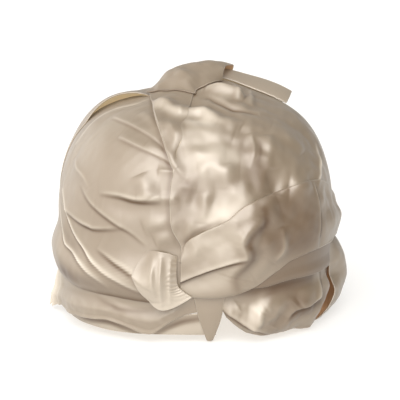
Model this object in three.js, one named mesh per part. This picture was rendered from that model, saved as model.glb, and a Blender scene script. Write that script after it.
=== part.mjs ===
// Satin sleep bonnet: a hair wrap of lapped and pleated cloth panels over a hollow for the head.
// Millimetres, +Z up. The front faces -Y and +X is the viewer's right.
// The origin is the centre of the head opening, in the plane of the rim.
import * as THREE from "three";

// Driving dimensions of the dome that the inner faces of the crown panels follow.
const DOME = {
  halfWidth: 104,
  halfDepth: 110,
  rise: 97, // from the centre up to the crown
  drop: 125, // the lower half's vertical radius, which draws the rim in
  centreHeight: 63, // of the dome's centre above the rim plane
  squareness: 2.7, // exponent of the superellipsoid: 2 is round, more is boxier
};
const CLOTH = 1.2; // wall of one ply of lined satin
const GAP = 0.8; // air between two plies that lie on each other
const LAYER = CLOTH + GAP;
const MM_PER_DEGREE = (Math.PI / 180) * DOME.halfWidth;
const CENTRE = new THREE.Vector3(0, 0, DOME.centreHeight);

// Places on the dome are given in degrees on a flat map of it: across (to +X) and up (to +Z) from the
// middle of the front, or of the back, seen from the dome's centre.
const FRONT = -1;
const BACK = 1;

const SATIN_ROUGHNESS = 0.34;

// Rows of numbers as objects with named columns.
function table(columns, rows) {
  return rows.map((row) => Object.fromEntries(columns.map((column, i) => [column, row[i]])));
}

function smoothstep(low, high, x) {
  const t = THREE.MathUtils.clamp((x - low) / (high - low), 0, 1);
  return t * t * (3 - 2 * t);
}

// 1 up to low, 0 from high on.
function fade(low, high, x) {
  return 1 - smoothstep(low, high, x);
}

// A bump that is 1 in the middle of 0..1 and 0 at its ends.
function arch(t) {
  return Math.sin(Math.PI * THREE.MathUtils.clamp(t, 0, 1));
}

function directionAt(across, up, side) {
  const angle = THREE.MathUtils.degToRad(Math.hypot(across, up));
  const turn = Math.atan2(up, across);
  return new THREE.Vector3(
    Math.sin(angle) * Math.cos(turn),
    side * Math.cos(angle),
    Math.sin(angle) * Math.sin(turn),
  );
}

// Distance from the dome's centre to the dome along a unit direction.
function domeRadius(d) {
  const n = DOME.squareness;
  const vertical = d.z >= 0 ? DOME.rise : DOME.drop;
  const sum =
    Math.abs(d.x / DOME.halfWidth) ** n + Math.abs(d.y / DOME.halfDepth) ** n + Math.abs(d.z / vertical) ** n;
  return sum ** (-1 / n);
}

function pointAt(across, up, lift, side) {
  const d = directionAt(across, up, side);
  return d.multiplyScalar(domeRadius(d) + lift).add(CENTRE);
}

// Edges are splines through a few map points.
function edge(rows) {
  return new THREE.SplineCurve(rows.map((row) => new THREE.Vector2(row[0], row[1])));
}

// A patch of the map between four edges (a Coons patch): u runs along bottom and top, v from bottom to top.
// bottom and top hold their corners; left and right hold only the points between them.
function patch({ bottom, top, left = [], right = [] }) {
  const low = edge(bottom);
  const high = edge(top);
  const west = edge([bottom[0], ...left, top[0]]);
  const east = edge([bottom.at(-1), ...right, top.at(-1)]);
  const mix = (a, b, t) => a.clone().lerp(b, t);
  const corners = [low.getPoint(0), low.getPoint(1), high.getPoint(0), high.getPoint(1)];
  return (u, v) => {
    const ruled = mix(low.getPoint(u), high.getPoint(u), v);
    const sides = mix(west.getPoint(v), east.getPoint(v), u);
    const bilinear = mix(mix(corners[0], corners[1], u), mix(corners[2], corners[3], u), v);
    return ruled.add(sides).sub(bilinear);
  };
}

// Folds follow a curve from a start through a middle to an end on the map. height and width are in mm.
// A ridge is round. A pleat steps up at its line and dies away over its width, on the side that is to the
// left of someone who walks from the start to the end. start_share and end_share are the height at the ends.
const FOLD_COLUMNS = [
  "kind", "across_1", "up_1", "across_2", "up_2", "across_3", "up_3",
  "height", "width", "start_share", "end_share",
];
const FOLD_STEPS = 16;
const PLEAT_STEP = 5; // mm to either side of a pleat's line over which it rises

function foldCurve(row) {
  const middle = new THREE.Vector2(row.across_2, row.up_2);
  const start = new THREE.Vector2(row.across_1, row.up_1);
  const end = new THREE.Vector2(row.across_3, row.up_3);
  const control = middle.multiplyScalar(2).addScaledVector(start, -0.5).addScaledVector(end, -0.5);
  return { ...row, points: new THREE.QuadraticBezierCurve(start, control, end).getPoints(FOLD_STEPS) };
}

function foldLift(fold, spot) {
  let nearest = Infinity;
  let offset = 0;
  let along = 0;
  for (let i = 0; i < FOLD_STEPS; i++) {
    const from = fold.points[i];
    const step = fold.points[i + 1].clone().sub(from);
    const reach = spot.clone().sub(from);
    const t = THREE.MathUtils.clamp(reach.dot(step) / step.lengthSq(), 0, 1);
    const distance = reach.clone().addScaledVector(step, -t).length();
    if (distance < nearest) {
      nearest = distance;
      offset = (step.cross(reach) / step.length()) * MM_PER_DEGREE;
      along = (i + t) / FOLD_STEPS;
    }
  }
  const d = nearest * MM_PER_DEGREE;
  const ends = THREE.MathUtils.lerp(fold.start_share, fold.end_share, along);
  const share = THREE.MathUtils.lerp(ends, 1, arch(along));
  if (fold.kind === "ridge") return fold.height * share * Math.exp(-((d / fold.width) ** 2));
  return fold.height * share * smoothstep(-PLEAT_STEP, PLEAT_STEP, offset) * Math.exp(-d / fold.width);
}

function foldsOf(rows) {
  const folds = table(FOLD_COLUMNS, rows).map(foldCurve);
  return (spot) => folds.reduce((sum, fold) => sum + foldLift(fold, spot), 0);
}

// A cloth wall over a patch: the lift function places its outer face, and the inner face lies one ply inside.
function clothWall({ outline, columns, rows, lift, side = FRONT }) {
  const spotAt = patch(outline);
  const outerAt = (u, v) => {
    const spot = spotAt(u, v);
    return pointAt(spot.x, spot.y, CLOTH + lift(spot, u, v), side);
  };
  const outer = [];
  const inner = [];
  const h = 1e-3; // step in u and v for the slopes
  for (let j = 0; j <= rows; j++) {
    for (let i = 0; i <= columns; i++) {
      const u = i / columns;
      const v = j / rows;
      const p = outerAt(u, v);
      const du = outerAt(Math.min(u + h, 1), v).sub(outerAt(Math.max(u - h, 0), v));
      const dv = outerAt(u, Math.min(v + h, 1)).sub(outerAt(u, Math.max(v - h, 0)));
      const normal = du.cross(dv).multiplyScalar(-side).normalize();
      outer.push(p);
      inner.push(p.clone().addScaledVector(normal, -CLOTH));
    }
  }
  return closedShell(outer, inner, columns, rows, side);
}

// Joins an outer and an inner grid of points into one closed mesh.
function closedShell(outer, inner, columns, rows, side) {
  const count = outer.length;
  const at = (i, j) => j * (columns + 1) + i;
  const index = [];
  const quad = (a, b, c, d) => index.push(...(side === FRONT ? [a, b, c, a, c, d] : [a, c, b, a, d, c]));
  for (let j = 0; j < rows; j++) {
    for (let i = 0; i < columns; i++) {
      const [a, b, c, d] = [at(i, j), at(i + 1, j), at(i + 1, j + 1), at(i, j + 1)];
      quad(a, b, c, d);
      quad(c + count, b + count, a + count, d + count);
    }
  }
  const border = [];
  for (let i = 0; i < columns; i++) border.push(at(i, 0));
  for (let j = 0; j < rows; j++) border.push(at(columns, j));
  for (let i = columns; i > 0; i--) border.push(at(i, rows));
  for (let j = rows; j > 0; j--) border.push(at(0, j));
  border.forEach((a, k) => {
    const b = border[(k + 1) % border.length];
    quad(b, a, a + count, b + count);
  });
  const position = [...outer, ...inner].flatMap((p) => p.toArray());
  const geometry = new THREE.BufferGeometry();
  geometry.setAttribute("position", new THREE.Float32BufferAttribute(position, 3));
  geometry.setIndex(index);
  geometry.computeVertexNormals();
  return geometry;
}

// Laps: how far one panel's edge rises to lie over the next one.
const BAND_LAP = 1.3 * LAYER; // left panel over the left band
const BACK_LAP = 1.4 * LAYER; // right panel over the back panel
const LEFT_LAP = 1.3 * LAYER; // back panel over the left panel

// A stretch over which a lift grows or dies away is [start, end], in degrees on the map or in shares
// of u or v.

// The right panel rises where it runs on over the back panel, past the sides and the crown.
const OVER_BACK = [72, 82]; // degrees from the middle of the front

function overBack(spot) {
  return BACK_LAP * smoothstep(...OVER_BACK, spot.length());
}

// Swell of the crown under the roll.
const SWELL = { across: 16, up: 92, height: 6, spread: 18 };

function crownSwell(spot) {
  const distance = Math.hypot(spot.x - SWELL.across, spot.y - SWELL.up);
  return SWELL.height * Math.exp(-((distance / SWELL.spread) ** 2));
}

// The front edge of the right panel, from the band up to the crown: it laps over the left panel.
const LEADING_EDGE = [
  [-5.1, 3.2], [-8.5, 11], [-8.8, 22.9], [-7.9, 30], [-9.2, 33.6], [-13.2, 44.5], [-20.3, 62], [-29, 86],
];
const LAP_UNDER = 5; // degrees that the left panel runs on under the right one

// Left front panel: smooth above, pulled into diagonal pleats below.
const leftFolds = foldsOf([
  ["pleat", -17, 2.4, -35, 12.2, -49, 24, 2.4, 16, 0, 0],
  ["pleat", -50, 8.6, -39, 6.6, -26.6, 8.6, 2.2, 13, 0.2, 0],
  ["ridge", -72, 9, -44, -6.4, -17, -14.5, 3.2, 9, 0.5, 0.2],
  ["pleat", -40, -1, -30, -4.8, -22, -8.6, 2.2, 12, 0, 0.8],
  ["pleat", -8.8, 26.6, -20, 31, -31, 39, 1.6, 12, 0.7, 0],
  ["pleat", -9.5, 16.8, -20, 16.6, -34, 20, 2.0, 12, 0.8, 0],
]);

const LEFT = {
  underBack: [0.1, 0.25], // u, hidden by the back panel's edge and so without folds
  underRight: [0.84, 0.92], // u, hidden by the right panel
  underMouth: [0.75, 0.9], // v, below the back panel's mouth
  overBand: [-13, 4], // up
  besideBand: [72, 78], // across, to the left
};

function leftLift(spot, u, v) {
  const shown = smoothstep(...LEFT.underBack, u) * fade(...LEFT.underRight, u) * fade(...LEFT.underMouth, v);
  const overBand = BAND_LAP * fade(...LEFT.overBand, spot.y) * fade(...LEFT.besideBand, -spot.x);
  return overBand + shown * leftFolds(spot);
}

const crownLeft = {
  name: "crown_left",
  color: 0xcbbaa6,
  geometry: clothWall({
    outline: {
      bottom: [[-98, -34], [-84, -31], [-73, -25], [-60, -20.5], [-40, -18.2], [-27, -17.6],
        [-15, -18.6], [-3.5, -17.5]],
      top: [[-96, 42], [-86, 56], [-73, 68], [-60, 75], [-47, 80.5], [-37, 83], [-24.5, 79]],
      left: [[-102, 8]],
      right: LEADING_EDGE.slice(0, -1).map(([across, up]) => [across + LAP_UNDER, up]),
    },
    columns: 20,
    rows: 20,
    lift: leftLift,
  }),
};

// Right front panel: its leading edge laps over the left panel, and its lower edge runs under the drape.
const rightFolds = foldsOf([
  ["ridge", 4, 70, 20, 64, 38, 62, 2.6, 11, 0, 0],
  ["ridge", -3, 44, 12, 47, 26, 42, 2.2, 11, 0.3, 0],
  ["ridge", 24, 54, 29, 41, 29, 27, 2.4, 10, 0, 0.2],
  ["ridge", 44, 62, 52, 48, 58, 33, 2.2, 11, 0, 0.2],
  ["ridge", 2, 34, 13, 32, 22, 26, 1.8, 10, 0.3, 0],
]);

const RIGHT = {
  overLeft: [0.1, 0.2], // u, the lap over the left panel
  underDrape: [0.08, 0.22], // v
  overCrown: [0.75, 0.9], // v
  besideKnot: [-3, 6], // up
  knotLap: 0.6, // layers that the lap gains beside the knot
};

function rightLift(spot, u, v) {
  const clearOfDrape = smoothstep(...RIGHT.underDrape, v);
  const shown = smoothstep(...RIGHT.overLeft, u) * clearOfDrape * fade(...RIGHT.overCrown, v);
  const lap = 1 + RIGHT.knotLap * fade(...RIGHT.besideKnot, spot.y);
  const overLeft = LAYER * fade(...RIGHT.overLeft, u) * lap;
  return Math.max(overBack(spot), overLeft) + crownSwell(spot) + shown * rightFolds(spot);
}

const crownRight = {
  name: "crown_right",
  color: 0xc6b7a3,
  geometry: clothWall({
    outline: {
      bottom: [[-5.3, -2.5], [2, 1], [10.5, 6], [18.5, 11], [33, 16], [47, 18], [62, 15.5], [82, 7], [98, 1]],
      top: [[-29, 86], [-12, 95], [10, 99], [32, 97], [48, 88], [61, 76], [76, 64], [91, 48], [98, 36]],
      left: LEADING_EDGE.slice(0, -1),
      right: [[101, 18]],
    },
    columns: 20,
    rows: 18,
    lift: rightLift,
  }),
};

// Back panel: one bag from side to side, gathered a little at the nape. Its left edge lies over the left
// panel and stands off it in a shallow mouth near the crown.
const NAPE = { gathers: 14, height: 3, across: [0.2, 0.8], up: [0.05, 0.45] }; // stretches of u and v
const MOUTH = { height: 6, across: [-68, -30], lip: [0.78, 1] }; // lip is a stretch of v
const OVER_LEFT = {
  out: [64, 74], // degrees from the middle of the back
  beforeCrown: [-38, -31], // across
  aboveCorner: [-44, -34], // up
};

// Where x lies in a stretch: 0 at its start and 1 at its end.
function shareOf([start, end], x) {
  return (x - start) / (end - start);
}

function backLift(spot, u, v) {
  const gathers = NAPE.height * (0.5 + 0.5 * Math.cos(2 * Math.PI * NAPE.gathers * u));
  const nape = arch(shareOf(NAPE.across, u)) * fade(...NAPE.up, v);
  const rise = smoothstep(...OVER_LEFT.out, spot.length()) * fade(...OVER_LEFT.beforeCrown, spot.x);
  const overLeft = LEFT_LAP * rise * smoothstep(...OVER_LEFT.aboveCorner, spot.y);
  const mouth = MOUTH.height * arch(shareOf(MOUTH.across, spot.x)) * smoothstep(...MOUTH.lip, v);
  return gathers * nape + overLeft + mouth;
}

const crownBack = {
  name: "crown_back",
  color: 0xb8a58e,
  geometry: clothWall({
    outline: {
      bottom: [[-88.5, -60.5], [-73, -48.5], [-52, -36.7], [-27, -31.3], [0, -31.3], [27, -31.3], [52, -36.7],
        [73, -48.5], [99, -73]],
      top: [[-86, 27], [-78, 45], [-68, 60], [-57, 71.5], [-47, 80], [-36, 87], [-22, 90], [0, 91], [24, 91],
        [45, 84], [62, 71], [77, 53], [86, 34], [92, 18], [103, 2], [117, -13], [121, -37]],
      left: [[-98, -43], [-90, -24], [-87, -4]],
      right: [[110, -58]],
    },
    columns: 28,
    rows: 12,
    lift: backLift,
    side: BACK,
  }),
};

// Turned facing of the leading edge: a flat strip that widens from a point at the seam up to the crown.
const FACING_BOW = 0.6;

// Level of a strip that lies over the right panel's edge.
function overRight(spot) {
  return LAYER + Math.max(LAYER, overBack(spot)) + crownSwell(spot);
}

const edgeFacing = {
  name: "edge_facing",
  color: 0xc3b29d,
  geometry: clothWall({
    outline: {
      bottom: [[-7.4, 30.5], [-6, 32]],
      top: [[-28.8, 84], [-14, 83], [-0.6, 79.5]],
      left: [[-9, 34.5], [-13, 45], [-20, 62], [-26.5, 77]],
      right: [[-6.9, 38.5], [-4.8, 44], [-5.8, 50.5], [-3, 57.5], [-2.5, 67], [-1.5, 74]],
    },
    columns: 8,
    rows: 18,
    lift: (spot, u) => overRight(spot) + FACING_BOW * arch(u),
  }),
};

// Crown roll: the facing's end, folded over the crown into a thick soft roll that is open at its right end.
const ROLL = {
  height: 14.5,
  endHeight: 11,
  grows: [0, 0.38], // v
  narrows: [0.75, 1], // v
  offFacing: [0.12, 0.36], // v, where it comes down from the facing onto the crown
  ontoRight: [0, 0.35], // u, from the back panel up onto the right one
};
// Share of the height across the roll: steep behind, with a long slope to the front.
const ROLL_SECTION = edge([[0, 0], [0.25, 0.9], [0.5, 1], [0.75, 0.66], [1, 0.1]]);

function rollLift(spot, u, v) {
  const { lerp } = THREE.MathUtils;
  const tall = lerp(ROLL.height, ROLL.endHeight, smoothstep(...ROLL.narrows, v));
  const height = lerp(FACING_BOW, tall, smoothstep(...ROLL.grows, v));
  const facingSeat = overRight(spot) + LAYER;
  const crownSeat = LAYER + (BACK_LAP + crownSwell(spot)) * smoothstep(...ROLL.ontoRight, u);
  const seat = lerp(facingSeat, crownSeat, smoothstep(...ROLL.offFacing, v));
  return seat + height * ROLL_SECTION.getPoint(u).y;
}

const crownRoll = {
  name: "crown_roll",
  color: 0xa89884,
  geometry: clothWall({
    outline: {
      bottom: [[-29.4, 80.5], [-14, 79.5], [0.2, 76.5]],
      top: [[25, 107], [26, 91]],
      left: [[-29.5, 91], [-25, 100], [-13, 107], [6, 110]],
      right: [[2, 81], [11, 86]],
    },
    columns: 10,
    rows: 18,
    lift: rollLift,
  }),
};

// Pleat that stands up behind the top edge of the right panel, from inside the roll's end to a free corner.
const PLEAT = {
  leftHeight: 4,
  rightHeight: 9,
  grows: [0.2, 1], // u
  rearSeat: 0.75 * LAYER,
  comesDown: [0.5, 1], // v
  forward: 0.6, // exponent of v that brings the crest to the front
};

function pleatLift(spot, u, v) {
  const frontSeat = BACK_LAP + LAYER + crownSwell(spot);
  const seat = THREE.MathUtils.lerp(frontSeat, PLEAT.rearSeat, smoothstep(...PLEAT.comesDown, v));
  const height = THREE.MathUtils.lerp(PLEAT.leftHeight, PLEAT.rightHeight, smoothstep(...PLEAT.grows, u));
  return seat + height * arch(v ** PLEAT.forward);
}

const backPleat = {
  name: "back_pleat",
  color: 0xbba89a,
  geometry: clothWall({
    outline: {
      bottom: [[22, 97], [36, 92], [48, 84], [60, 74]],
      top: [[23, 103], [40, 101], [54, 94], [67, 82]],
    },
    columns: 14,
    rows: 6,
    lift: pleatLift,
  }),
};

// Right drape: the cross-over panel, fanned out from the knot in pleats, over the lower part of the crown.
const drapeFolds = foldsOf([
  ["pleat", 19, -1.2, 6, -4.4, -5.6, -8.8, 2.4, 14, 0, 1],
  ["ridge", 10, 4, 26, 11, 40, 16, 2.2, 10, 0, 0.2],
  ["ridge", 18, -6, 34, 4, 54, 10, 2.6, 10, 0.2, 0.3],
]);

const DRAPE = {
  belly: 1,
  lowerHalf: [0.25, 0.85], // v, from the bands' level to the crown's
  overUnder: [34, 44], // across, where the lower edge climbs onto the under drape's end
  besideKnot: [0.1, 0.3], // u, where the upper edge comes down from the lap at the knot
  foldReach: 0.4, // exponent: less lets the folds run closer to the edges
};

function drapeLift(spot, u, v) {
  const low = LAYER * (2 + smoothstep(...DRAPE.overUnder, spot.x)) * fade(...DRAPE.lowerHalf, v);
  const high = LAYER * (2 - smoothstep(...DRAPE.besideKnot, u)) * smoothstep(...DRAPE.lowerHalf, v);
  const folds = arch(v) ** DRAPE.foldReach * drapeFolds(spot);
  return low + high + overBack(spot) + DRAPE.belly * arch(v) + folds;
}

const rightDrape = {
  name: "right_drape",
  color: 0xcabba9,
  geometry: clothWall({
    outline: {
      bottom: [[-5, -14.4], [0.1, -16], [10.6, -15.8], [20.8, -13], [29.4, -7.8], [38, -3.6], [52, -2.6],
        [64, -4], [80, -7], [97, -10]],
      top: [[-4.6, 1.6], [-1.4, 6.4], [10.5, 12.3], [18.5, 18], [33.4, 22.8], [46.8, 25], [62, 23.6],
        [82, 16], [98, 10]],
    },
    columns: 24,
    rows: 12,
    lift: drapeLift,
  }),
};

// How far the pieces at the outer end of the right band rise to lie over the back panel's front corner.
const OVER_CORNER = [36, 44]; // across

function overCorner(spot) {
  return LAYER * smoothstep(...OVER_CORNER, spot.x);
}

// Under drape: the ply that shows as a wedge below the right drape.
const FLARE = { height: 2, below: [0.1, 0.4] }; // below is a stretch of v

const underDrape = {
  name: "under_drape",
  color: 0x977f69,
  geometry: clothWall({
    outline: {
      bottom: [[18, -13.4], [26, -13], [33.5, -11.8], [43, -11.8], [57, -13.4]],
      top: [[17, -10], [27, -4], [38, 0.6], [48, 1.4], [61.5, 0]],
      right: [[61, -7]],
    },
    columns: 12,
    rows: 6,
    lift: (spot, u, v) => LAYER + overCorner(spot) + FLARE.height * u * fade(...FLARE.below, v),
  }),
};

// Right band: the lower roll, whose outer end stands free in front of the side loop.
const RIGHT_BAND = {
  belly: 6.5,
  bellyAcross: 0.95, // share of the arch that the belly has run through at the free end
  bellyTop: [0.35, 0.75], // v
  bellyFoot: [-0.15, 0.25], // v
  freeEnd: 5,
  freeAcross: [0.75, 1], // u
  freeTop: [0.45, 0.75], // v
};

function rightBandLift(spot, u, v) {
  const bellyUp = fade(...RIGHT_BAND.bellyTop, v) * smoothstep(...RIGHT_BAND.bellyFoot, v);
  const belly = RIGHT_BAND.belly * arch(RIGHT_BAND.bellyAcross * u) * bellyUp;
  const freeUp = fade(...RIGHT_BAND.freeTop, v);
  const freeEnd = RIGHT_BAND.freeEnd * smoothstep(...RIGHT_BAND.freeAcross, u) * freeUp;
  return overCorner(spot) + belly + freeEnd;
}

const rightBand = {
  name: "right_band",
  color: 0xb3a08c,
  geometry: clothWall({
    outline: {
      bottom: [[11.5, -24.4], [19, -30.6], [28, -31.8], [37, -33], [44, -33.6]],
      top: [[7, -11.5], [17, -10.5], [28, -8], [40, -6.4], [51, -8.5]],
      left: [[8.5, -18]],
      right: [[53, -28.5], [57, -21], [53.5, -13]],
    },
    columns: 16,
    rows: 12,
    lift: rightBandLift,
  }),
};

// Side loop: the wrap's end turned into a hollow loop on the right, open to the front.
const LOOP = {
  frontHeight: 7,
  height: 14.5,
  rearHeight: 2,
  rises: [0, 0.45], // u
  narrows: [0.5, 1], // u
  tuckedFrom: 0.88, // v above which it lies flat under the drape
  roundness: 0.75, // exponent of the arch: less is rounder
};

function loopLift(spot, u, v) {
  const { lerp } = THREE.MathUtils;
  const risen = lerp(LOOP.frontHeight, LOOP.height, smoothstep(...LOOP.rises, u));
  const height = lerp(risen, LOOP.rearHeight, smoothstep(...LOOP.narrows, u));
  return LAYER + height * arch(v / LOOP.tuckedFrom) ** LOOP.roundness;
}

const sideLoop = {
  name: "side_loop",
  color: 0xa99886,
  geometry: clothWall({
    outline: {
      bottom: [[48.5, -36], [60, -39.8], [72, -45.5], [84, -52]],
      top: [[62.5, -1.4], [72, -1.8], [84, -3.6], [96, -6.5]],
      left: [[56, -32], [62.5, -24], [63.5, -13]],
      right: [[97, -30]],
    },
    columns: 12,
    rows: 12,
    lift: loopLift,
  }),
};

// Left band: the lower roll on the left, under the left panel's pleats, running to the knot.
const LEFT_BAND = {
  belly: 4.4,
  roundness: 0.7, // exponent of the arch from end to end: less is fuller at the ends
  bellyUp: [-0.12, 0.55], // v
  overUnder: [44, 52], // across, to the left
  underPanel: [0.3, 0.55], // v
  underTab: [0.88, 0.96], // u
};

function leftBandLift(spot, u, v) {
  const belly = LEFT_BAND.belly * arch(u) ** LEFT_BAND.roundness * arch(shareOf(LEFT_BAND.bellyUp, v));
  const seat = LAYER * (1 + smoothstep(...LEFT_BAND.overUnder, -spot.x));
  return (seat + belly) * fade(...LEFT_BAND.underPanel, v) * fade(...LEFT_BAND.underTab, u);
}

const leftBand = {
  name: "left_band",
  color: 0xc2ae99,
  geometry: clothWall({
    outline: {
      bottom: [[-69, -31.8], [-59, -33], [-47, -30.2], [-33, -26], [-26, -26.6], [-19, -29], [-14.5, -29],
        [-9, -25.4], [-4, -23.4], [3.5, -22]],
      top: [[-72.5, -20], [-60, -16], [-48, -14], [-39, -13.4], [-30, -13], [-22, -13], [-14, -13.4],
        [-8, -13.6], [-4.6, -14], [3, -14.4]],
    },
    columns: 22,
    rows: 9,
    lift: leftBandLift,
  }),
};

// Under band: the inner turn that shows along the rim below the left band.
const UNDER_BAND_RISE = [50, 58]; // across, to the left, where its end lies over the back panel's corner

const underBand = {
  name: "under_band",
  color: 0xb7a598,
  geometry: clothWall({
    outline: {
      bottom: [[-66, -44.4], [-44, -34.4], [-30, -31.8], [-15, -31.2], [0, -31.4], [7.5, -31.4]],
      top: [[-66, -35], [-50, -28.5], [-38, -25], [-30, -22.5], [-15, -24], [-5, -23.6], [7.5, -22.6]],
    },
    columns: 18,
    rows: 4,
    lift: (spot) => LAYER * smoothstep(...UNDER_BAND_RISE, -spot.x),
  }),
};

// Gathered end: the left panel's end, pulled through the knot and hanging over the band as a pouch.
const POUCH = {
  lowerSeat: 2.9 * LAYER,
  upperSeat: 0.6 * LAYER,
  belly: 6,
  bellyUp: [1.25, -0.75], // v, where the belly's arch starts and ends
  bellyAcross: [-0.2143, 1.2143], // u
  folds: 3,
  foldHeight: 1.5,
  foldReach: 0.5, // exponent: less lets the folds run closer to the edges
};

function gatheredLift(spot, u, v) {
  const seat = THREE.MathUtils.lerp(POUCH.lowerSeat, POUCH.upperSeat, v);
  const belly = POUCH.belly * arch(shareOf(POUCH.bellyUp, v)) * arch(shareOf(POUCH.bellyAcross, u));
  const ridges = Math.max(Math.cos(2 * Math.PI * POUCH.folds * u), 0);
  return seat + belly + POUCH.foldHeight * ridges * arch(v) ** POUCH.foldReach;
}

const gatheredEnd = {
  name: "gathered_end",
  color: 0xd9cdbb,
  geometry: clothWall({
    outline: {
      bottom: [[-15.5, -17.4], [-12, -20.6], [-7.5, -21], [-2.2, -18]],
      top: [[-17.5, 1.2], [-14, 1.4], [-10, 0.8], [-6.4, -0.6]],
      left: [[-19.8, -12], [-21.5, -7]],
      right: [[-4.6, -15.8], [-6.3, -11], [-6.5, -5]],
    },
    columns: 14,
    rows: 12,
    lift: gatheredLift,
  }),
};

// Front tab: a pointed tongue that hangs from under the drape, just past the rim.
const TAB = { bow: 0.8, underDrape: [0.6, 0.9] }; // underDrape is a stretch of v

const frontTab = {
  name: "front_tab",
  color: 0xb7a798,
  geometry: clothWall({
    outline: {
      bottom: [[4.3, -33.2], [6.6, -33]],
      top: [[-0.6, -14.2], [11, -14.2]],
      left: [[1.6, -24.5]],
      right: [[9.6, -24]],
    },
    columns: 5,
    rows: 8,
    lift: (spot, u, v) => LAYER + TAB.bow * arch(u) * fade(...TAB.underDrape, v),
  }),
};

const PIECES = [
  crownLeft, crownRight, crownBack, edgeFacing, crownRoll, backPleat, rightDrape, underDrape, rightBand,
  sideLoop, leftBand, underBand, gatheredEnd, frontTab,
];

const bonnet = new THREE.Group();
bonnet.name = "sleep_bonnet";
for (const { name, color, geometry } of PIECES) {
  const finish = { name: "satin", color, roughness: SATIN_ROUGHNESS, metalness: 0 };
  const satin = new THREE.MeshStandardMaterial(finish);
  const mesh = new THREE.Mesh(geometry, satin);
  mesh.name = name;
  bonnet.add(mesh);
}

export default bonnet;
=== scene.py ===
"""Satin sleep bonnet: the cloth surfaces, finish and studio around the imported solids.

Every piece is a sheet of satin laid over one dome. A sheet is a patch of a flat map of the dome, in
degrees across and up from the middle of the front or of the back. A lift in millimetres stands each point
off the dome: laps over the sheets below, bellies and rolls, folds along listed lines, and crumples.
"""

import math
from collections import namedtuple
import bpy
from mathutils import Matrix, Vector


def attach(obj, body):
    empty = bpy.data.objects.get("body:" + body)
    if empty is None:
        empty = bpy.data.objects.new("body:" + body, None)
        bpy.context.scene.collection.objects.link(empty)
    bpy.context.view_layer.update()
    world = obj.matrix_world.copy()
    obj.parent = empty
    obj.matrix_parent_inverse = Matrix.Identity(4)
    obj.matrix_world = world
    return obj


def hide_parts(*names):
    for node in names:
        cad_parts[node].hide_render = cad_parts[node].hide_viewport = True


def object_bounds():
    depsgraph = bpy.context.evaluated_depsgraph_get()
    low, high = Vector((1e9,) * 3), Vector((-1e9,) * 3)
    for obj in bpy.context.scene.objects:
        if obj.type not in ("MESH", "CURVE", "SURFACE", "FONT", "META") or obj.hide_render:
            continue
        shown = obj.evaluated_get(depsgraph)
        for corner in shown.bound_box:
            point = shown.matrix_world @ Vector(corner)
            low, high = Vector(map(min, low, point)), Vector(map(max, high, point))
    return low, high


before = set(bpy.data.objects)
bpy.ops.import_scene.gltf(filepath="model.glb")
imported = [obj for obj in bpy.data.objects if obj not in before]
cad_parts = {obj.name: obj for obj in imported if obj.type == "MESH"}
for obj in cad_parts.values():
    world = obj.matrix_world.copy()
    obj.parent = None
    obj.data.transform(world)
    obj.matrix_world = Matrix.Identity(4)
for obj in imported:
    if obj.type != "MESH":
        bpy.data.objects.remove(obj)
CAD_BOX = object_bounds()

from types import SimpleNamespace as Values

import bpy
import numpy as np
from mathutils import Vector

bl_info = {
    "name": "Satin sleep bonnet",
    "version": (1, 0, 0),
    "blender": (4, 5, 0),
    "location": "View3D > Sidebar > Bonnet",
    "description": "Makes the cloth pieces of a wrapped satin bonnet and the studio around it",
    "category": "Add Mesh",
}

MM = 0.001  # metres
FRONT = -1
BACK = 1
BODY = "root"


# Sizes and colours

class BonnetSizes(bpy.types.PropertyGroup):
    """Driving sizes of the dome and the cloth, in millimetres."""

    half_width: bpy.props.FloatProperty(
        name="Half width", description="Dome radius to the sides, in mm", default=104.0, min=60, max=140)
    half_depth: bpy.props.FloatProperty(
        name="Half depth", description="Dome radius to the front and back, in mm", default=110.0,
        min=60, max=150)
    rise: bpy.props.FloatProperty(
        name="Rise", description="From the dome's centre up to the crown, in mm", default=97.0,
        min=60, max=140)
    drop: bpy.props.FloatProperty(
        name="Drop", description="Vertical radius below the centre, in mm", default=125.0, min=60, max=180)
    centre_height: bpy.props.FloatProperty(
        name="Centre height", description="Dome centre above the rim plane, in mm", default=63.0,
        min=20, max=120)
    squareness: bpy.props.FloatProperty(
        name="Squareness", description="Superellipsoid exponent: 2 is round, more is boxier", default=2.7,
        min=2, max=4)
    ply: bpy.props.FloatProperty(
        name="Ply", description="Thickness of one lined sheet, in mm", default=0.9, min=0.3, max=2)
    air: bpy.props.FloatProperty(
        name="Air", description="Space between two sheets that lie on each other, in mm", default=0.25,
        min=0.1, max=2)
    crumple: bpy.props.FloatProperty(
        name="Crumple", description="Strength of the small crumples", default=1.0, min=0, max=3,
        subtype="FACTOR")
    floor_gap: bpy.props.FloatProperty(
        name="Floor gap", description="Space between the lowest tip and the floor, in mm", default=0.6,
        min=0, max=50)


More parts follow.
